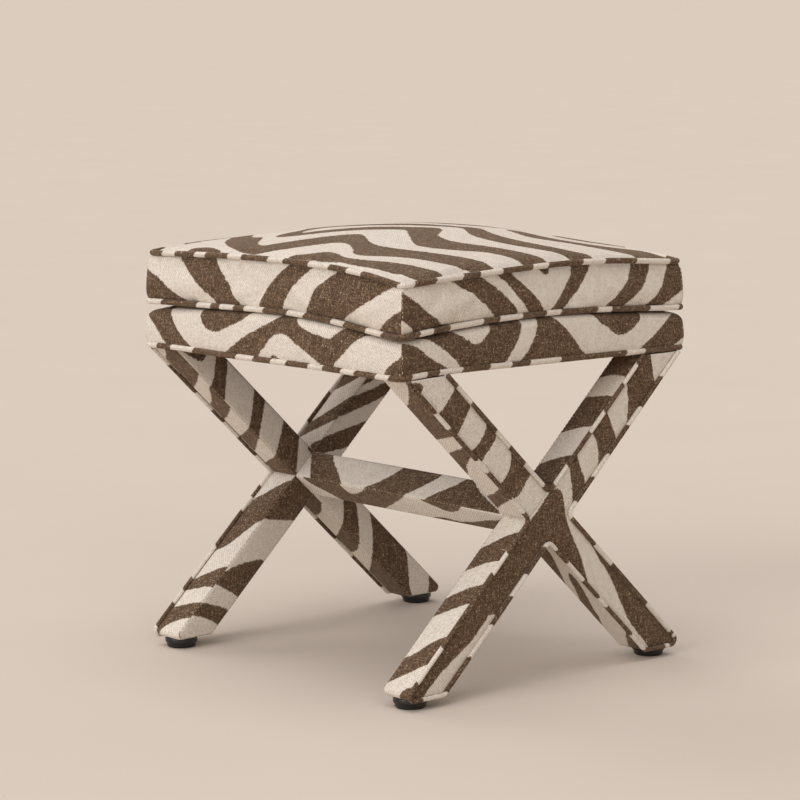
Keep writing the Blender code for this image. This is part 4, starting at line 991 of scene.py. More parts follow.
frameStripes = {
    # outer face by x and z
    "outer": {"brown": [
        [(-226, 371), (-212, 372), (-195, 370), (-198, 362), (-205, 356), (-222, 350)],
        [(-194, 320), (-184, 330), (-174, 338), (-164, 346), (-150, 358), (-134, 374), (-112, 352),
         (-124, 342), (-138, 326), (-145, 314), (-158, 302)],
        [(-132, 286), (-122, 292), (-108, 304), (-102, 317), (-98, 328), (-80, 308), (-87, 302), (-97, 290),
         (-107, 280), (-114, 268)],
        [(-88, 240), (-77, 248), (-65, 261), (-62, 280), (-60, 294), (-22, 258), (-31, 251), (-40, 244),
         (-47, 232), (-57, 227), (-68, 216)],
        [(-36, 192), (-16, 212), (2, 229), (12, 232), (22, 226), (26, 209), (29, 192), (40, 169), (52, 149),
         (62, 125), (70, 106), (20, 140), (-60, 60), (-150, -30), (-310, -30), (-220, 60), (-120, 130)],
        [(32, 270), (34, 252), (37, 234), (40, 210), (42, 196), (64, 222), (58, 240), (49, 258), (44, 282)],
        [(62, 300), (76, 287), (82, 272), (83, 256), (84, 240), (120, 270), (113, 281), (107, 292),
         (100, 307), (92, 330)],
        [(124, 362), (130, 342), (133, 325), (132, 306), (132, 290), (186, 334), (177, 345), (174, 356),
         (168, 376), (164, 396), (140, 390)],
        [(70, 160), (76, 151), (87, 135), (100, 120), (112, 101), (124, 78), (136, 57), (150, 41), (170, 21),
         (186, 2), (290, 2), (240, 50), (100, 178)],
    ], "cream": [
        [(-92, 100), (-106, 87), (-120, 73), (-140, 60), (-161, 48), (-184, 32), (-206, 10), (-214, -4),
         (-120, -4), (-70, 80)],
    ]},
    # inner face by x and z
    "inner": {"brown": [
        [(-225, 390), (-210, 372), (-174, 352), (-172, 390)],
        [(-158, 384), (-159, 358), (-162, 337), (-168, 319), (-176, 300), (-146, 292), (-144, 314),
         (-143, 334), (-140, 355), (-136, 378)],
        [(-96, 330), (-98, 312), (-102, 290), (-107, 261), (-114, 244), (-96, 232), (-91, 252), (-86, 277),
         (-80, 299), (-74, 322)],
        [(-44, 288), (-50, 269), (-58, 247), (-64, 225), (-68, 208), (-32, 186), (-29, 204), (-28, 225),
         (-24, 247), (-18, 266)],
        [(4, 268), (30, 282), (60, 297), (96, 307), (118, 316), (96, 322), (60, 311), (28, 294), (0, 276)],
        [(-26, 242), (5, 257), (35, 265), (70, 273), (105, 282), (140, 292), (132, 308), (108, 300),
         (80, 294), (50, 287), (18, 276), (-8, 262)],
        [(-14, 233), (8, 241), (38, 248), (68, 253), (104, 260), (88, 240), (62, 226), (30, 224), (0, 221)],
        [(-40, 204), (-60, 178), (-92, 152), (-80, 148), (-56, 145), (-28, 140), (-8, 138), (4, 170),
         (-10, 198)],
        [(-176, 84), (-150, 90), (-120, 98), (-76, 99), (-90, 70), (-120, 48), (-126, 55), (-144, 67),
         (-166, 78)],
        [(-214, 50), (-200, 54), (-184, 57), (-160, 49), (-138, 40), (-150, 18), (-158, 24), (-180, 37),
         (-200, 42), (-212, 42)],
        [(-16, 168), (2, 166), (14, 150), (12, 142), (-2, 144), (-12, 152)],
        [(48, 172), (50, 151), (50, 132), (47, 116), (56, 92), (82, 84), (78, 100), (76, 122), (72, 147),
         (70, 172)],
        [(92, 160), (95, 138), (100, 113), (101, 78), (96, 52), (120, 14), (184, -2), (170, 14), (165, 32),
         (163, 54), (161, 78), (130, 125)],
        [(202, 46), (201, 30), (199, 8), (250, 8), (232, 36)],
    ]},
    # edge strips by distance along the leg from the crossing (lower legs negative) and by depth behind the
    # outer face
    "nearSide": {"brown": [
        [(26, 54), (32, 47), (45, 32), (54, 17), (61, 5), (66, -8), (92, -8), (84, 5), (72, 21), (66, 32),
         (59, 47), (55, 54)],
        [(92, 54), (100, 47), (110, 36), (121, 31), (132, 20), (146, 4), (152, -8), (168, -8), (164, 3),
         (157, 17), (150, 34), (142, 47), (138, 54)],
        [(168, 54), (171, 47), (175, 32), (180, 17), (185, 2), (188, -8), (300, -8), (270, 6), (255, 20),
         (242, 32), (231, 46), (226, 54)],
        [(-80, 54), (-75, 43), (-62, 29), (-50, 17), (-42, 5), (-36, -8), (-82, -8), (-86, 6), (-92, 20),
         (-102, 33), (-112, 47), (-116, 54)],
        [(-156, 54), (-152, 46), (-140, 32), (-130, 20), (-121, 5), (-116, -8), (-146, -8), (-150, 5),
         (-160, 20), (-170, 32), (-179, 47), (-184, 54)],
        [(-243, 54), (-239, 44), (-230, 31), (-212, 20), (-198, 5), (-192, -8), (-234, -8), (-240, 5),
         (-252, 17), (-265, 32), (-277, 45), (-282, 54)],
        [(-268, -8), (-270, 4), (-290, 20), (-312, 30), (-360, 30), (-360, -8)],
    ]},
    "nearTop": {"brown": [
        [(36, 54), (42, 45), (31, 22), (20, 7), (14, -8), (80, -8), (76, 7), (69, 21), (61, 35), (53, 47),
         (50, 54)],
        [(102, 54), (104, 46), (112, 31), (117, 21), (122, 6), (126, -8), (171, -8), (170, 6), (166, 30),
         (162, 46), (160, 54)],
        [(188, 54), (192, 45), (201, 27), (200, 6), (199, -8), (300, -8), (300, 54)],
    ]},
    "nearBottom": {"brown": [
        [(14, 54), (22, 40), (34, 22), (42, 14), (67, 22), (100, 34), (127, 45), (142, 54)],
        [(83, 12), (100, 23), (125, 30), (140, 36), (155, 43), (166, 54), (228, 54), (216, 47), (190, 33),
         (172, 30), (152, 24), (130, 17), (100, 10)],
        [(203, -8), (209, 4), (225, 14), (240, 22), (256, 27), (320, 40), (320, -8)],
    ]},
    "farSide": {"brown": [
        [(10, -8), (10, 54), (68, 54), (72, 50), (60, 37), (50, 16), (37, -4), (34, -8)],
        [(56, -8), (61, -2), (75, 14), (87, 27), (100, 42), (108, 54), (130, 54), (125, 44), (112, 27),
         (105, 14), (96, -3), (92, -8)],
        [(126, -8), (131, -2), (142, 17), (155, 34), (167, 47), (172, 54), (222, 54), (212, 47), (200, 36),
         (185, 27), (172, 14), (160, -2), (156, -8)],
        [(190, -8), (195, -2), (207, 14), (220, 32), (235, 47), (242, 54), (300, 54), (300, 36), (275, 22),
         (265, 12), (250, -4), (246, -8)],
        [(-76, -8), (-70, 4), (-55, 19), (-40, 32), (-30, 43), (-22, 54), (-90, 54), (-95, 46), (-105, 37),
         (-125, 28), (-145, 18), (-155, 4), (-160, -8)],
        [(-206, -8), (-202, 4), (-190, 18), (-180, 32), (-172, 44), (-166, 54), (-206, 54), (-207, 45),
         (-208, 33), (-214, 21), (-220, 4), (-224, -8)],
        [(-250, -8), (-247, 4), (-242, 17), (-235, 32), (-231, 46), (-228, 54), (-254, 54), (-255, 46),
         (-262, 30), (-272, 17), (-290, 4), (-300, -8)],
    ]},
    "farBottom": {"brown": [
        [(0, -8), (0, 54), (24, 54), (40, 43), (55, 31), (67, 16), (75, -3), (78, -8)],
        [(124, -8), (120, 2), (110, 17), (97, 31), (82, 48), (78, 54), (118, 54), (120, 49), (140, 33),
         (152, 14), (159, -3), (162, -8)],
        [(208, -8), (205, -3), (192, 12), (172, 31), (152, 48), (146, 54), (330, 54), (330, -8)],
    ]},
    "farTop": {"brown": [
        [(16, 54), (20, 42), (24, 34), (30, 34), (38, 44), (46, 54)],
        [(30, -8), (38, 8), (50, 20), (62, 34), (80, 50), (84, 54), (128, 54), (118, 46), (100, 34), (84, 22),
         (66, 8), (60, -8)],
        [(112, -8), (118, 6), (132, 22), (150, 36), (168, 54), (220, 54), (196, 34), (176, 18), (160, 4),
         (154, -8)],
    ]},
}

# places along the frame welts where the tone changes, brown first
frameCords = {
    "near_outer": [50, 77, 137, 160, 212, 240, 302, 334, 443, 495, 535, 573, 624, 672, 715, 748, 790, 812,
                   838, 875, 911, 930, 990, 1022, 1060, 1067, 1086, 1091, 1098, 1157, 1241, 1282, 1336, 1358,
                   1397, 1432, 1478, 1508, 1556],
    "far_outer": [-40, 31, 87, 123, 148, 180, 219, 277, 297, 319, 378, 430, 450, 471, 508, 560, 600, 640, 690,
                  730, 760, 791, 820, 855, 900, 940, 1011, 1060, 1110, 1180, 1220, 1290, 1330, 1390, 1430,
                  1480, 1520, 1570],
    "top": [14, 44, 87, 119, 172, 201, 223, 266, 300, 329, 380, 407],
}


# leg tops reach up to the deck's lower edge
def raiseLegTops(bm):
    part = frameLook["risePart"]
    for vert in bm.verts:
        share = (vert.co.z - legTop + part) / part
        if share > 0:  # each leg grows along its own slope
            lift = float(skirtRise(vert.co.x, vert.co.y)) * share * share
            vert.co.z += lift
            vert.co.x += math.copysign(lift * legCos / legSin, vert.co.x)


# corners of a run are (x, z, bend); returns its points and the index of each corner's middle
def bentRun(corners, steps=8):
    points, middles = [], []
    for k, (x, z, bend) in enumerate(corners):
        corner = np.array((x, z))
        if bend == 0 or k in (0, len(corners) - 1):
            middles.append(len(points))
            points.append(corner)
            continue
        before = np.array(corners[k - 1][:2]) - corner
        after = np.array(corners[k + 1][:2]) - corner
        before, after = before / np.linalg.norm(before), after / np.linalg.norm(after)
        half = 0.5 * math.acos(float(before @ after))
        inward = (before + after) / np.linalg.norm(before + after)
        centre = corner + inward * bend / math.sin(half)
        start = corner + before * bend / math.tan(half) - centre
        end = corner + after * bend / math.tan(half) - centre
        first = math.atan2(start[1], start[0])
        sweep = (math.atan2(end[1], end[0]) - first + math.pi) % (2 * math.pi) - math.pi
        middles.append(len(points) + steps // 2)
        for i in range(steps + 1):
            turn = first + sweep * i / steps
            points.append(centre + bend * np.array((math.cos(turn), math.sin(turn))))
    return np.array(points), middles


# x of a leg edge at a height; across is how far the edge lies to the left of the rising leg's middle
def risingX(z, across):
    return (legCos * (z - crossingZ) - across) / legSin


# the four runs round the frame at an offset from the cloth, in one turn: down the left, along the feet,
# up the right, back over the top
def frameRuns(offset, notch, toe, heel):
    half = legHalf + offset
    bottom = footZ - offset
    left = [(-risingX(legTop, -half), legTop, 0), (-half / legSin, crossingZ, notch),
            (risingX(bottom, half), bottom, toe), (risingX(bottom, -half), bottom, heel)]
    below = [left[-1], (0, crossingZ - half / legCos, notch), (-left[-1][0], bottom, heel)]
    right = [(-x, z, bend) for x, z, bend in reversed(left)]
    above = [(risingX(legTop, half), legTop, 0), (0, crossingZ + half / legCos, notch),
             (-risingX(legTop, half), legTop, 0)]
    return {"left": left, "bottom": below, "right": right, "top": above}


def evenRun(points, count):
    s = alongRun(points)
    t = np.linspace(0, s[-1], count)
    return np.stack((np.interp(t, s, points[:, 0]), np.interp(t, s, points[:, 1])), -1)


# long stretches are cut into short ones, bends keep their points
def fineRun(points, stepMm):
    fine = [points[0]]
    for p, q in zip(points, points[1:]):
        pieces = max(1, round(np.linalg.norm(q - p) / (stepMm / 1000)))
        fine += [p + (q - p) * k / pieces for k in range(1, pieces + 1)]
    return np.array(fine)


def outwardAlong(points):
    t = np.gradient(points, axis=0)
    t /= np.maximum(np.linalg.norm(t, axis=1), 1e-12)[:, None]
    return np.stack((t[:, 1], -t[:, 0]), -1)


# a flat run of x and z at one depth
def atDepth(flat, y):
    return np.stack((flat[:, 0], np.full(len(flat), y), flat[:, 1]), -1)


def distanceTo(places, line):
    nearest = np.full(places.shape[:-1], 1e9)
    for p, q in zip(line, line[1:]):
        d = q - p
        t = np.clip(((places - p) @ d) / max(float(d @ d), 1e-12), 0, 1)
        nearest = np.minimum(nearest, np.linalg.norm(places - p - t[..., None] * d, axis=-1))
    return nearest


# drop of a folded edge at a distance from the sharp corner
def foldDrop(e, radius):
    inner = np.clip(radius - e, 0, radius)
    return radius - np.sqrt(radius * radius - inner * inner)


# cloths of two faces meet half way round the fold, this far in from the sharp corner
def halfFold(radius):
    return radius * (1 - math.sqrt(0.5))


def makeFramePanel(end, kind):
    look = frameLook
    outer = kind == "outer"
    fold = look["foldRadius"]
    meet = 0 if outer else halfFold(fold)
    bends = (look["notchBend"] if outer else 0, look["toeBend"], look["heelBend"])
    runs = {key: bentRun(corners) for key, corners in frameRuns(-meet, *bends).items()}
    sharp = {key: bentRun(corners)[0] for key, corners in frameRuns(0, *bends).items()}
    sign = frameEnds[end]
    faceY = sign * (outerY if outer else innerY)
    facing = sign if outer else -sign
    clothScale = np.array((facing * -1000, 1000))   # stripes are drawn as seen from in front of each face

    def addFlat(flat):
        e = np.minimum.reduce([distanceTo(flat, line) for line in sharp.values()])
        lift = look["pad"] * (1 - np.exp(-e / look["padRun"]))
        if outer:
            lift = lift - look["creaseDepth"] * np.exp(-(e / look["creaseWidth"]) ** 2)
        else:
            lift = lift - foldDrop(e, fold) - look["seamDip"] * np.exp(-(e - meet) / look["seamWidth"])
        spots = np.stack((flat[..., 0], faceY + facing * lift, flat[..., 1]), -1)
        addSheet(bm, spots, flat * clothScale, 0, (0, facing, 0))

    left, leftMid = runs["left"]
    below, belowMid = runs["bottom"]
    above, aboveMid = runs["top"]
    notch, heelAt = leftMid[1], leftMid[3]
    footMiddle = (left[heelAt - 1] + left[heelAt]) / 2
    upper = (left[notch::-1], above[aboveMid[1]:])
    lower = (np.vstack((left[notch:heelAt], footMiddle)), below[belowMid[1]::-1])
    t = np.linspace(0, 1, look["across"] + 1)
    bm = bmesh.new()
    for first, second in (upper, lower):
        count = int(round(max(alongRun(first)[-1], alongRun(second)[-1]) / (look["stepMm"] / 1000))) + 1
        a, b = evenRun(first, count), evenRun(second, count)
        # finer at both edges
        share = 0.5 - 0.5 * np.cos(np.linspace(0, math.pi, look["across"] + 1))[None, :, None]
        leg = a[:, None, :] * (1 - share) + b[:, None, :] * share
        for turn in (1, -1):
            addFlat(leg * np.array((turn, 1)))
    # the square where the legs cross
    corners = [left[notch], above[aboveMid[1]], left[notch] * np.array((-1, 1)), below[belowMid[1]]]
    s, u = (grid[..., None] for grid in np.meshgrid(t, t, indexing="ij"))
    addFlat((corners[0] * (1 - s) + corners[1] * s) * (1 - u) + (corners[3] * (1 - s) + corners[2] * s) * u)
    raiseLegTops(bm)
    addPiece(f"{end}_{kind}_cloth", bm, zebraCotton, "stool_frame", [f"{end}_{kind}_panel"],
             [frameStripes[kind]], look["clothThick"])


def makeFrameStrip(end, run):
    look = frameLook
    onSide = run in ("left", "right")
    stripes = frameStripes[end + ("Side" if onSide else run.capitalize())]
    if not onSide:
        stripes = {"brown": stripes["brown"] + mirrored(stripes)["brown"]}
    fold = look["foldRadius"]
    meet = halfFold(fold)
    points, middles = bentRun(frameRuns(0, look["stripNotchBend"], look["toeBend"], look["heelBend"])[run])
    notchAt = alongRun(points)[middles[2 if run == "right" else 1]]
    startOut = (legCos * sleeveAcross if onSide else legSin * sleeveUpright) * 1000
    # rows of points from the cord back to the inner edge, finer beside the cord and round the fold
    depths = np.concatenate((np.array([0.4, 1.4, 2.6, 4.0, 5.8]) / 1000,
                             np.linspace(0.008, frameDepth - 2 * fold, 12),
                             frameDepth - np.array([1.5, 1.1, 0.8, 0.55]) * fold, [frameDepth - meet]))
    e = frameDepth - depths
    drop = foldDrop(e, fold) + look["seamDip"] * np.exp(-(e - meet) / look["seamWidth"])
    swell = look["pad"] * look["stripPad"] * (1 - (2 * depths / frameDepth - 1) ** 4)
    lift = swell - drop - look["creaseDepth"] * np.exp(-(depths / look["creaseWidth"]) ** 2)
    bm = bmesh.new()
    fine = fineRun(points, look["stepMm"])
    normals = outwardAlong(fine)
    s = alongRun(fine)
    split = int(np.argmin(np.abs(s - notchAt)))
    # cloth is measured from the crossing, up positive and down negative, or to both sides
    first = 1 if run in ("left", "top") else -1
    for part, towards in ((slice(0, split + 1), first), (slice(split, None), -first)):
        line, normal, where = fine[part], normals[part], s[part]
        groove = look["notchGroove"] * np.exp(-((where - notchAt) / look["grooveWidth"]) ** 2)
        flat = line[:, None, :] + normal[:, None, :] * (lift[None, :, None] - groove[:, None, None])
        y = np.broadcast_to(frameEnds[end] * (outerY - depths), flat.shape[:2])
        a = towards * (startOut + np.abs(where - notchAt) * 1000)
        cloth = np.stack(np.broadcast_arrays(a[:, None], depths[None, :] * 1000), -1)
        out = normal[len(line) // 2]
        addSheet(bm, np.stack((flat[..., 0], y, flat[..., 1]), -1), cloth, 0, (out[0], 0, out[1]))
    raiseLegTops(bm)
    addPiece(f"{end}_{run}_cloth", bm, zebraCotton, "stool_frame", [f"{end}_{run}_strip"],
             [stripes], look["clothThick"])


def makeFrameCord(end, kind, corners, changes):
    look = frameLook
    fine = fineRun(bentRun(corners)[0], look["cordStepMm"])
    y = frameEnds[end] * (reach("far_outer_welt", 1, "y") - look["cordRadius"])
    marks = [-50] + changes + [2000]    # both ends lie beyond the run
    stretches = list(zip(marks[::2], marks[1::2]))
    bm = bmesh.new()
    addCord(bm, atDepth(fine, y), atDepth(outwardAlong(fine), 0.0), look["cordRadius"], alongRun(fine) * 1000,
            stretchDepth(stretches), False, look["cordSides"])
    raiseLegTops(bm)
    addPiece(f"{end}_{kind}_cord", bm, zebraCotton, "stool_frame", [f"{end}_{kind}_welt"])


def makeFrameStitches(end):
    look = frameLook
    sign, meet, sink = frameEnds[end], halfFold(look["foldRadius"]), look["stitchSink"]
    bm = bmesh.new()
    for corners in frameRuns(-meet + sink, look["stripNotchBend"], look["toeBend"], look["heelBend"]).values():
        points = fineRun(bentRun(corners)[0], look["stitchStepMm"])
        path = atDepth(points, sign * (innerY + meet - sink))
        stitchLine(bm, path, atDepth(outwardAlong(points), -sign * 1.0), look)
    raiseLegTops(bm)
    addPiece(end + "_edge_stitches", bm, finish["taupe_thread"], "stool_frame")


# the welt's middle stands this far out from the edge
cordOffset = footZ - reach("near_outer_welt", 0, "z") - frameLook["cordRadius"]
cordRuns = frameRuns(cordOffset, frameLook["notchBend"], frameLook["toeBend"] + cordOffset,
                     frameLook["heelBend"] + cordOffset)
for end in frameEnds:
    for kind in ("outer", "inner"):
        makeFramePanel(end, kind)
    for run in ("left", "right", "top", "bottom"):
        makeFrameStrip(end, run)
    makeFrameCord(end, "outer", cordRuns["left"] + cordRuns["bottom"][1:] + cordRuns["right"][1:],
                  frameCords[end + "_outer"])
    makeFrameCord(end, "top", cordRuns["top"], frameCords["top"])
    makeFrameStitches(end)
    print(end, "frame covered")


# stretcher: a square bar standing on edge in a sewn sleeve, with the seam along its left ridge

sleeveLook = {
    "ridge": 0.0030, "pad": 0.0007, "padRun": 0.006, "stepMm": 3.6, "clothThick": 0.0011,
    "weld": 0.0004,         # the four faces join along the ridges
    "seamSink": 0.42,       # share of the ridge's radius
    "seamLift": 0.0004,
    "seamInset": 0.004,
    "seamPoints": 60,
}

sleeveStripes = {
    # by y, and by distance from the side ridge, up on the upper faces and down on the lower ones
    "upper": {"brown": [
        [(-116, 48), (-112, 38), (-132, 25), (-150, 16), (-178, 6), (-190, -6), (-42, -6), (-52, 2),
         (-74, 19), (-91, 33), (-100, 48)],
        [(-58, 48), (-52, 36), (-38, 20), (-16, 2), (-8, -6), (64, -6), (57, 2), (45, 9), (32, 20), (21, 33),
         (12, 48)],
        [(152, 48), (142, 32), (122, 19), (101, 2), (94, -6), (158, -6), (163, 7), (175, 20), (183, 32),
         (196, 48)],
    ]},
    "lower": {"brown": [
        [(-122, 6), (-115, -2), (-105, -10), (-83, -18), (-62, -8), (-44, -2), (-36, 6)],
        [(-200, -6), (-168, -15), (-145, -20), (-118, -30), (-86, -37), (-62, -32), (-32, -41), (-20, -50),
         (-200, -50)],
        [(-22, 6), (-14, -2), (5, -14), (25, -25), (50, -40), (58, -50), (122, -50), (131, -40), (146, -26),
         (167, -13), (180, 6), (106, 6), (103, -4), (98, -20), (78, -14), (60, -3), (50, 6)],
    ]},
}


def makeSleeve(look):
    ridge = look["ridge"]
    meet = halfFold(ridge)
    faceLong = math.hypot(sleeveAcross, sleeveUpright)
    count = int(round(2 * sleeveEnd * 1000 / look["stepMm"])) + 1
    y = np.linspace(-sleeveEnd, sleeveEnd, count)
    t = np.concatenate(([meet, 0.45 * ridge, 0.7 * ridge, ridge],
                        np.linspace(ridge, faceLong - ridge, 11)[1:-1],
                        faceLong - np.array([1.0, 0.7, 0.45]) * ridge, [faceLong - meet]))
    e = np.minimum(t, faceLong - t)
    lift = look["pad"] * (1 - np.exp(-e / look["padRun"])) - foldDrop(e, ridge)
    bm = bmesh.new()
    for k, (sx, sz) in enumerate(((-1, 1), (-1, -1), (1, 1), (1, -1))):
        sideRidge = np.array((sx * sleeveAcross, crossingZ))
        endRidge = np.array((0.0, crossingZ + sz * sleeveUpright))
        down = (endRidge - sideRidge) / faceLong
        out = np.array((sx * sleeveUpright, sz * sleeveAcross)) / faceLong
        flat = sideRidge + t[:, None] * down + lift[:, None] * out
        spots = np.stack(np.broadcast_arrays(flat[None, :, 0], y[:, None], flat[None, :, 1]), -1)
        cloth = np.stack(np.broadcast_arrays(y[:, None] * 1000, sz * t[None, :] * 1000), -1)
        addSheet(bm, spots, cloth, k, (out[0], 0, out[1]))
    bmesh.ops.remove_doubles(bm, verts=bm.verts, dist=look["weld"])
    upper, lower = sleeveStripes["upper"], sleeveStripes["lower"]
    addPiece("stretcher_cloth", bm, zebraCotton, "stool_frame", ["stretcher_sleeve"],
             [upper, lower, mirrored(upper), mirrored(lower)], look["clothThick"])
    bm = bmesh.new()
    seamX, seamEnd = -sleeveAcross + ridge * look["seamSink"], sleeveEnd - look["seamInset"]
    points = [(seamX, y, crossingZ + look["seamLift"])
              for y in np.linspace(-seamEnd, seamEnd, look["seamPoints"])]
    stitchLine(bm, points, [(-1, 0, 0.2)] * look["seamPoints"], frameLook)
    addPiece("stretcher_stitches", bm, finish["taupe_thread"], "stool_frame")


makeSleeve(sleeveLook)
print("stretcher covered")


# levelling glides: moulded foot with an eased rim on a threaded steel stem

glideLook = {
    "sides": 72,
    # share of the collar's radius, share of the height from floor to collar top
    "section": [(0.0, 0.0), (0.70, 0.0), (0.83, 0.03), (0.88, 0.10), (0.90, 0.20), (0.905, 0.40), (0.92, 0.46),
                (0.97, 0.47), (0.995, 0.51), (1.0, 0.58), (1.0, 0.86), (0.985, 0.95), (0.93, 1.0), (0.3, 1.0),
                (0.0, 1.0)],
    "collarGap": 0.0003,    # below the foot's cloth
    "sharpAngle": 50,
    "threadPitch": 0.00125,
    "threadDeep": 0.00045,
    "stemRadius": 0.003,
    "stemSides": 28,
    "tipShare": 0.7, "tipBevel": 0.0002,
    "stemSunk": 0.002,      # the stem starts this far down in the foot; its thread ends as far below its tip
}


def spin(bm, section, centre, sides):
    angles = [k * 2 * math.pi / sides for k in range(sides)]
    rings = []
    for radius, z in section:
        turns = angles if radius > 1e-6 else [0.0]      # a point on the axis
        rings.append([bm.verts.new((centre[0] + radius * math.cos(a), centre[1] + radius * math.sin(a), z))
                      for a in turns])
    for low, high in zip(rings, rings[1:]):
        for k in range(sides):
            ring = [low[k % len(low)], low[(k + 1) % len(low)], high[(k + 1) % len(high)], high[k % len(high)]]
            ring = [v for i, v in enumerate(ring) if v not in ring[:i]]
            if len(ring) > 2:
                bm.faces.new(ring)


def makeGlide(end, side, look):
    node = f"glide_{end}_{side}"
    body = f"{end}_{side}_glide"
    low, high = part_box(node)
    centre = ((low[0] + high[0]) / 2, (low[1] + high[1]) / 2)
    radius = (high[0] - low[0]) / 2
    collarTop = footZ - look["collarGap"]
    bm = bmesh.new()
    section = [(r * radius, low[2] + t * (collarTop - low[2])) for r, t in look["section"]]
    spin(bm, section, centre, look["sides"])
    foot = addPiece(node + "_foot", bm, finish["moulded_black_nylon"], body, [node])
    splitEdges(foot, look["sharpAngle"])
    crest, root, pitch = look["stemRadius"], look["stemRadius"] - look["threadDeep"], look["threadPitch"]
    z = collarTop - look["stemSunk"]
    stem = [(0.0, z)]
    while z < high[2] - look["stemSunk"]:
        stem += [(root, z), (crest, z + pitch / 2)]
        z += pitch
    stem += [(root, z), (crest * look["tipShare"], high[2] - look["tipBevel"]), (0.0, high[2])]
    bm = bmesh.new()
    spin(bm, stem, centre, look["stemSides"])
    addPiece(node + "_stem", bm, finish["zinced_steel"], body)


for end in frameEnds:
    for side in ("left", "right"):
        makeGlide(end, side, glideLook)
print("glides made")


# dust cover under the seat, pulled tight and hardly rippled between the rails

dustLook = {"cells": 48, "ripple": 0.00005, "waves": (37, 41), "thick": 0.0006}


def makeDustCover(look):
    low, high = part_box("dust_cover")
    t = np.linspace(0, 1, look["cells"] + 1)
    u, v = np.meshgrid(t, t, indexing="ij")
    x, y = low[0] + (high[0] - low[0]) * u, low[1] + (high[1] - low[1]) * v
    ripple = look["ripple"] * np.sin(u * look["waves"][0]) * np.sin(v * look["waves"][1])
    z = low[2] + look["thick"] + ripple * hump(2 * u - 1) * hump(2 * v - 1) + np.maximum(0, skirtRise(x, y))
    bm = bmesh.new()
    addSheet(bm, np.stack((x, y, z), -1), np.stack((x, y), -1) * 1000, 0, (0, 0, 1))
    sheet = addPiece("dust_sheet", bm, finish["dust_cover_felt"], "stool_frame",
                     ["dust_cover"], None, look["thick"])


makeDustCover(dustLook)
print("dust cover made")


# seat rails: planed bars whose lower outer edges follow the deck's welt

railLook = {"rings": 41, "sharpAngle": 30}


def makeRail(name, look):
    low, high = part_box(name)
    axis = 0 if high[0] - low[0] > high[1] - low[1] else 1
    near, far = low[1 - axis], high[1 - axis]
    bm = bmesh.new()
    rings = []
    for s in np.linspace(low[axis], high[axis], look["rings"]):
        ring = []
        for across, z in ((near, low[2]), (far, low[2]), (far, high[2]), (near, high[2])):
            x, y = (s, across) if axis == 0 else (across, s)
            lift = max(0.0, float(skirtRise(x, y))) if z == low[2] else 0.0
            ring.append(bm.verts.new((x, y, z + lift)))
        rings.append(ring)
    for first, second in zip(rings, rings[1:]):
        for k in range(4):
            bm.faces.new((first[k], first[(k + 1) % 4], second[(k + 1) % 4], second[k]))
    bm.faces.new(list(reversed(rings[0])))
    bm.faces.new(rings[-1])
    bmesh.ops.recalc_face_normals(bm, faces=bm.faces)
    bar = addPiece(name + "_bar", bm, finish["planed_beech"], "stool_frame", [name])
    splitEdges(bar, look["sharpAngle"])


for name in ("rail_near", "rail_far", "rail_left", "rail_right"):
    makeRail(name, railLook)
print("seat rails made")


# solids that stay keep their shape and take a real finish
for name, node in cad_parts.items():
    if name.endswith("_leg") or name == "stretcher_bar":
        wanted = "planed_beech"
    elif name == "deck_board":
        wanted = "birch_plywood"
    elif "bolt" in name or "insert" in name:
        wanted = "zinced_steel"
    else:
        continue
    node.data.materials.clear()
    node.data.materials.append(finish[wanted])
print("solids finished")


# stage: plain pale floor, soft light from the front left, and the photograph's viewing angle

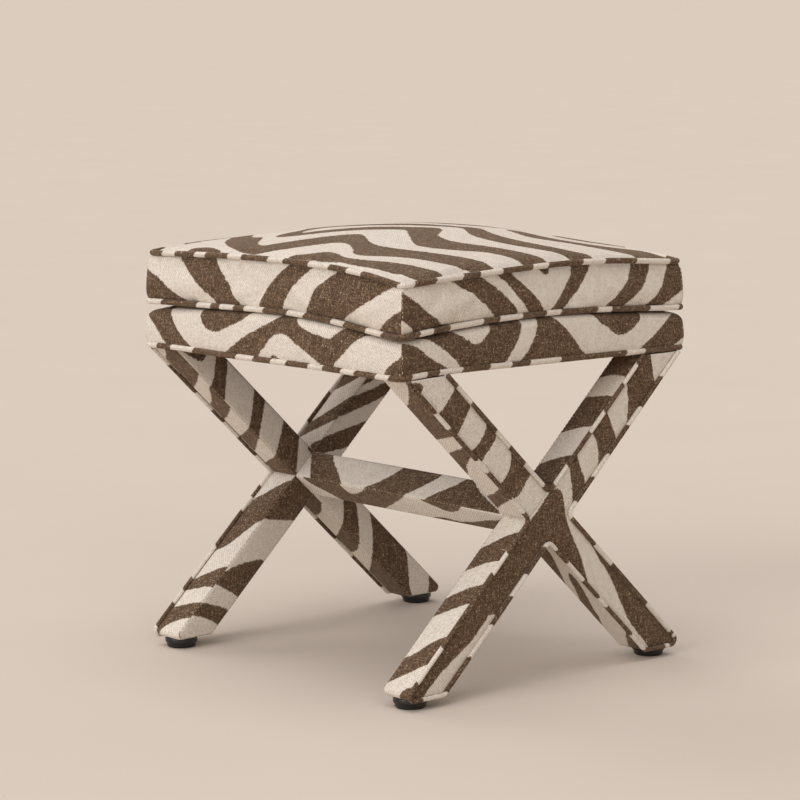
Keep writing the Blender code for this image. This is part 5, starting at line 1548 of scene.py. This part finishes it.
stageLook = {
    "floorSize": 800.0,     # so wide that its far edge lies above the picture
    "sky": "#fff3e8", "skyStrength": 0.42,
    "backdrop": "#d9cdc1",  # what the camera sees behind the floor's edge, as the lit floor looks
    # name: direction towards the lamp, strength in watts per square metre, width in degrees, colour
    "lamps": {
        "keySoftbox": ((-0.92, -0.02, 0.39), 1.42, 45.0, "#fffdfb"),
        "frontSoftbox": ((-0.50, -0.74, 0.45), 0.62, 50.0, "#fffdf9"),
        "overheadSoftbox": ((-0.05, -0.03, 1.0), 1.0, 50.0, "#fbfbff"),
        "backLight": ((0.0, 0.866, 0.5), 0.8, 45.0, "#fffdfb"),
    },
    "lampDistance": 3.0,
    "cameraPlace": (-2.3865, -2.5917, 0.8116),
    "cameraTurn": (81.938, 0.0, -42.370),
    "lensMm": 130.71, "sensorMm": 36.0,
    "farthestSeen": 1000.0,
}

bm = bmesh.new()
bmesh.ops.create_grid(bm, x_segments=4, y_segments=4, size=stageLook["floorSize"] / 2)
floor = addObject("studio_floor", bm)
floor.data.materials.append(finish["painted_floor"])

world = bpy.data.worlds.new("studio")
scene.world = world
world.use_nodes = True
worldTree = world.node_tree
sky = worldTree.nodes["Background"]
sky.inputs["Color"].default_value = linear(stageLook["sky"])
sky.inputs["Strength"].default_value = stageLook["skyStrength"]
backdrop = addNode(worldTree, "Background", {"Color": linear(stageLook["backdrop"]), "Strength": 1.0})
# the camera sees the backdrop, and so do gloss and glass
rays = addNode(worldTree, "LightPath").node.outputs
seen = rays["Is Camera Ray"]
for ray in ("Is Glossy Ray", "Is Transmission Ray"):
    seen = addNode(worldTree, "Math", links={0: seen, 1: rays[ray]}, operation="MAXIMUM")
mixed = addNode(worldTree, "MixShader", links={0: seen, 1: sky.outputs[0], 2: backdrop})
worldTree.links.new(mixed, worldTree.nodes["World Output"].inputs["Surface"])

for name, (towards, strength, width, colour) in stageLook["lamps"].items():
    lamp = bpy.data.lights.new(name, "SUN")
    lamp.energy = strength
    lamp.angle = math.radians(width)
    lamp.color = linear(colour)[:3]
    holder = bpy.data.objects.new(name, lamp)
    holder.location = Vector(towards) * stageLook["lampDistance"]
    holder.rotation_euler = Vector(towards).to_track_quat("Z", "Y").to_euler()
    scene.collection.objects.link(holder)

lens = bpy.data.cameras.new("photo_camera")
lens.sensor_width = stageLook["sensorMm"]
lens.lens = stageLook["lensMm"]
lens.clip_end = stageLook["farthestSeen"]
camera = bpy.data.objects.new("photo_camera", lens)
camera.location = stageLook["cameraPlace"]
camera.rotation_euler = [math.radians(t) for t in stageLook["cameraTurn"]]
scene.collection.objects.link(camera)
scene.camera = camera
print("stage set")
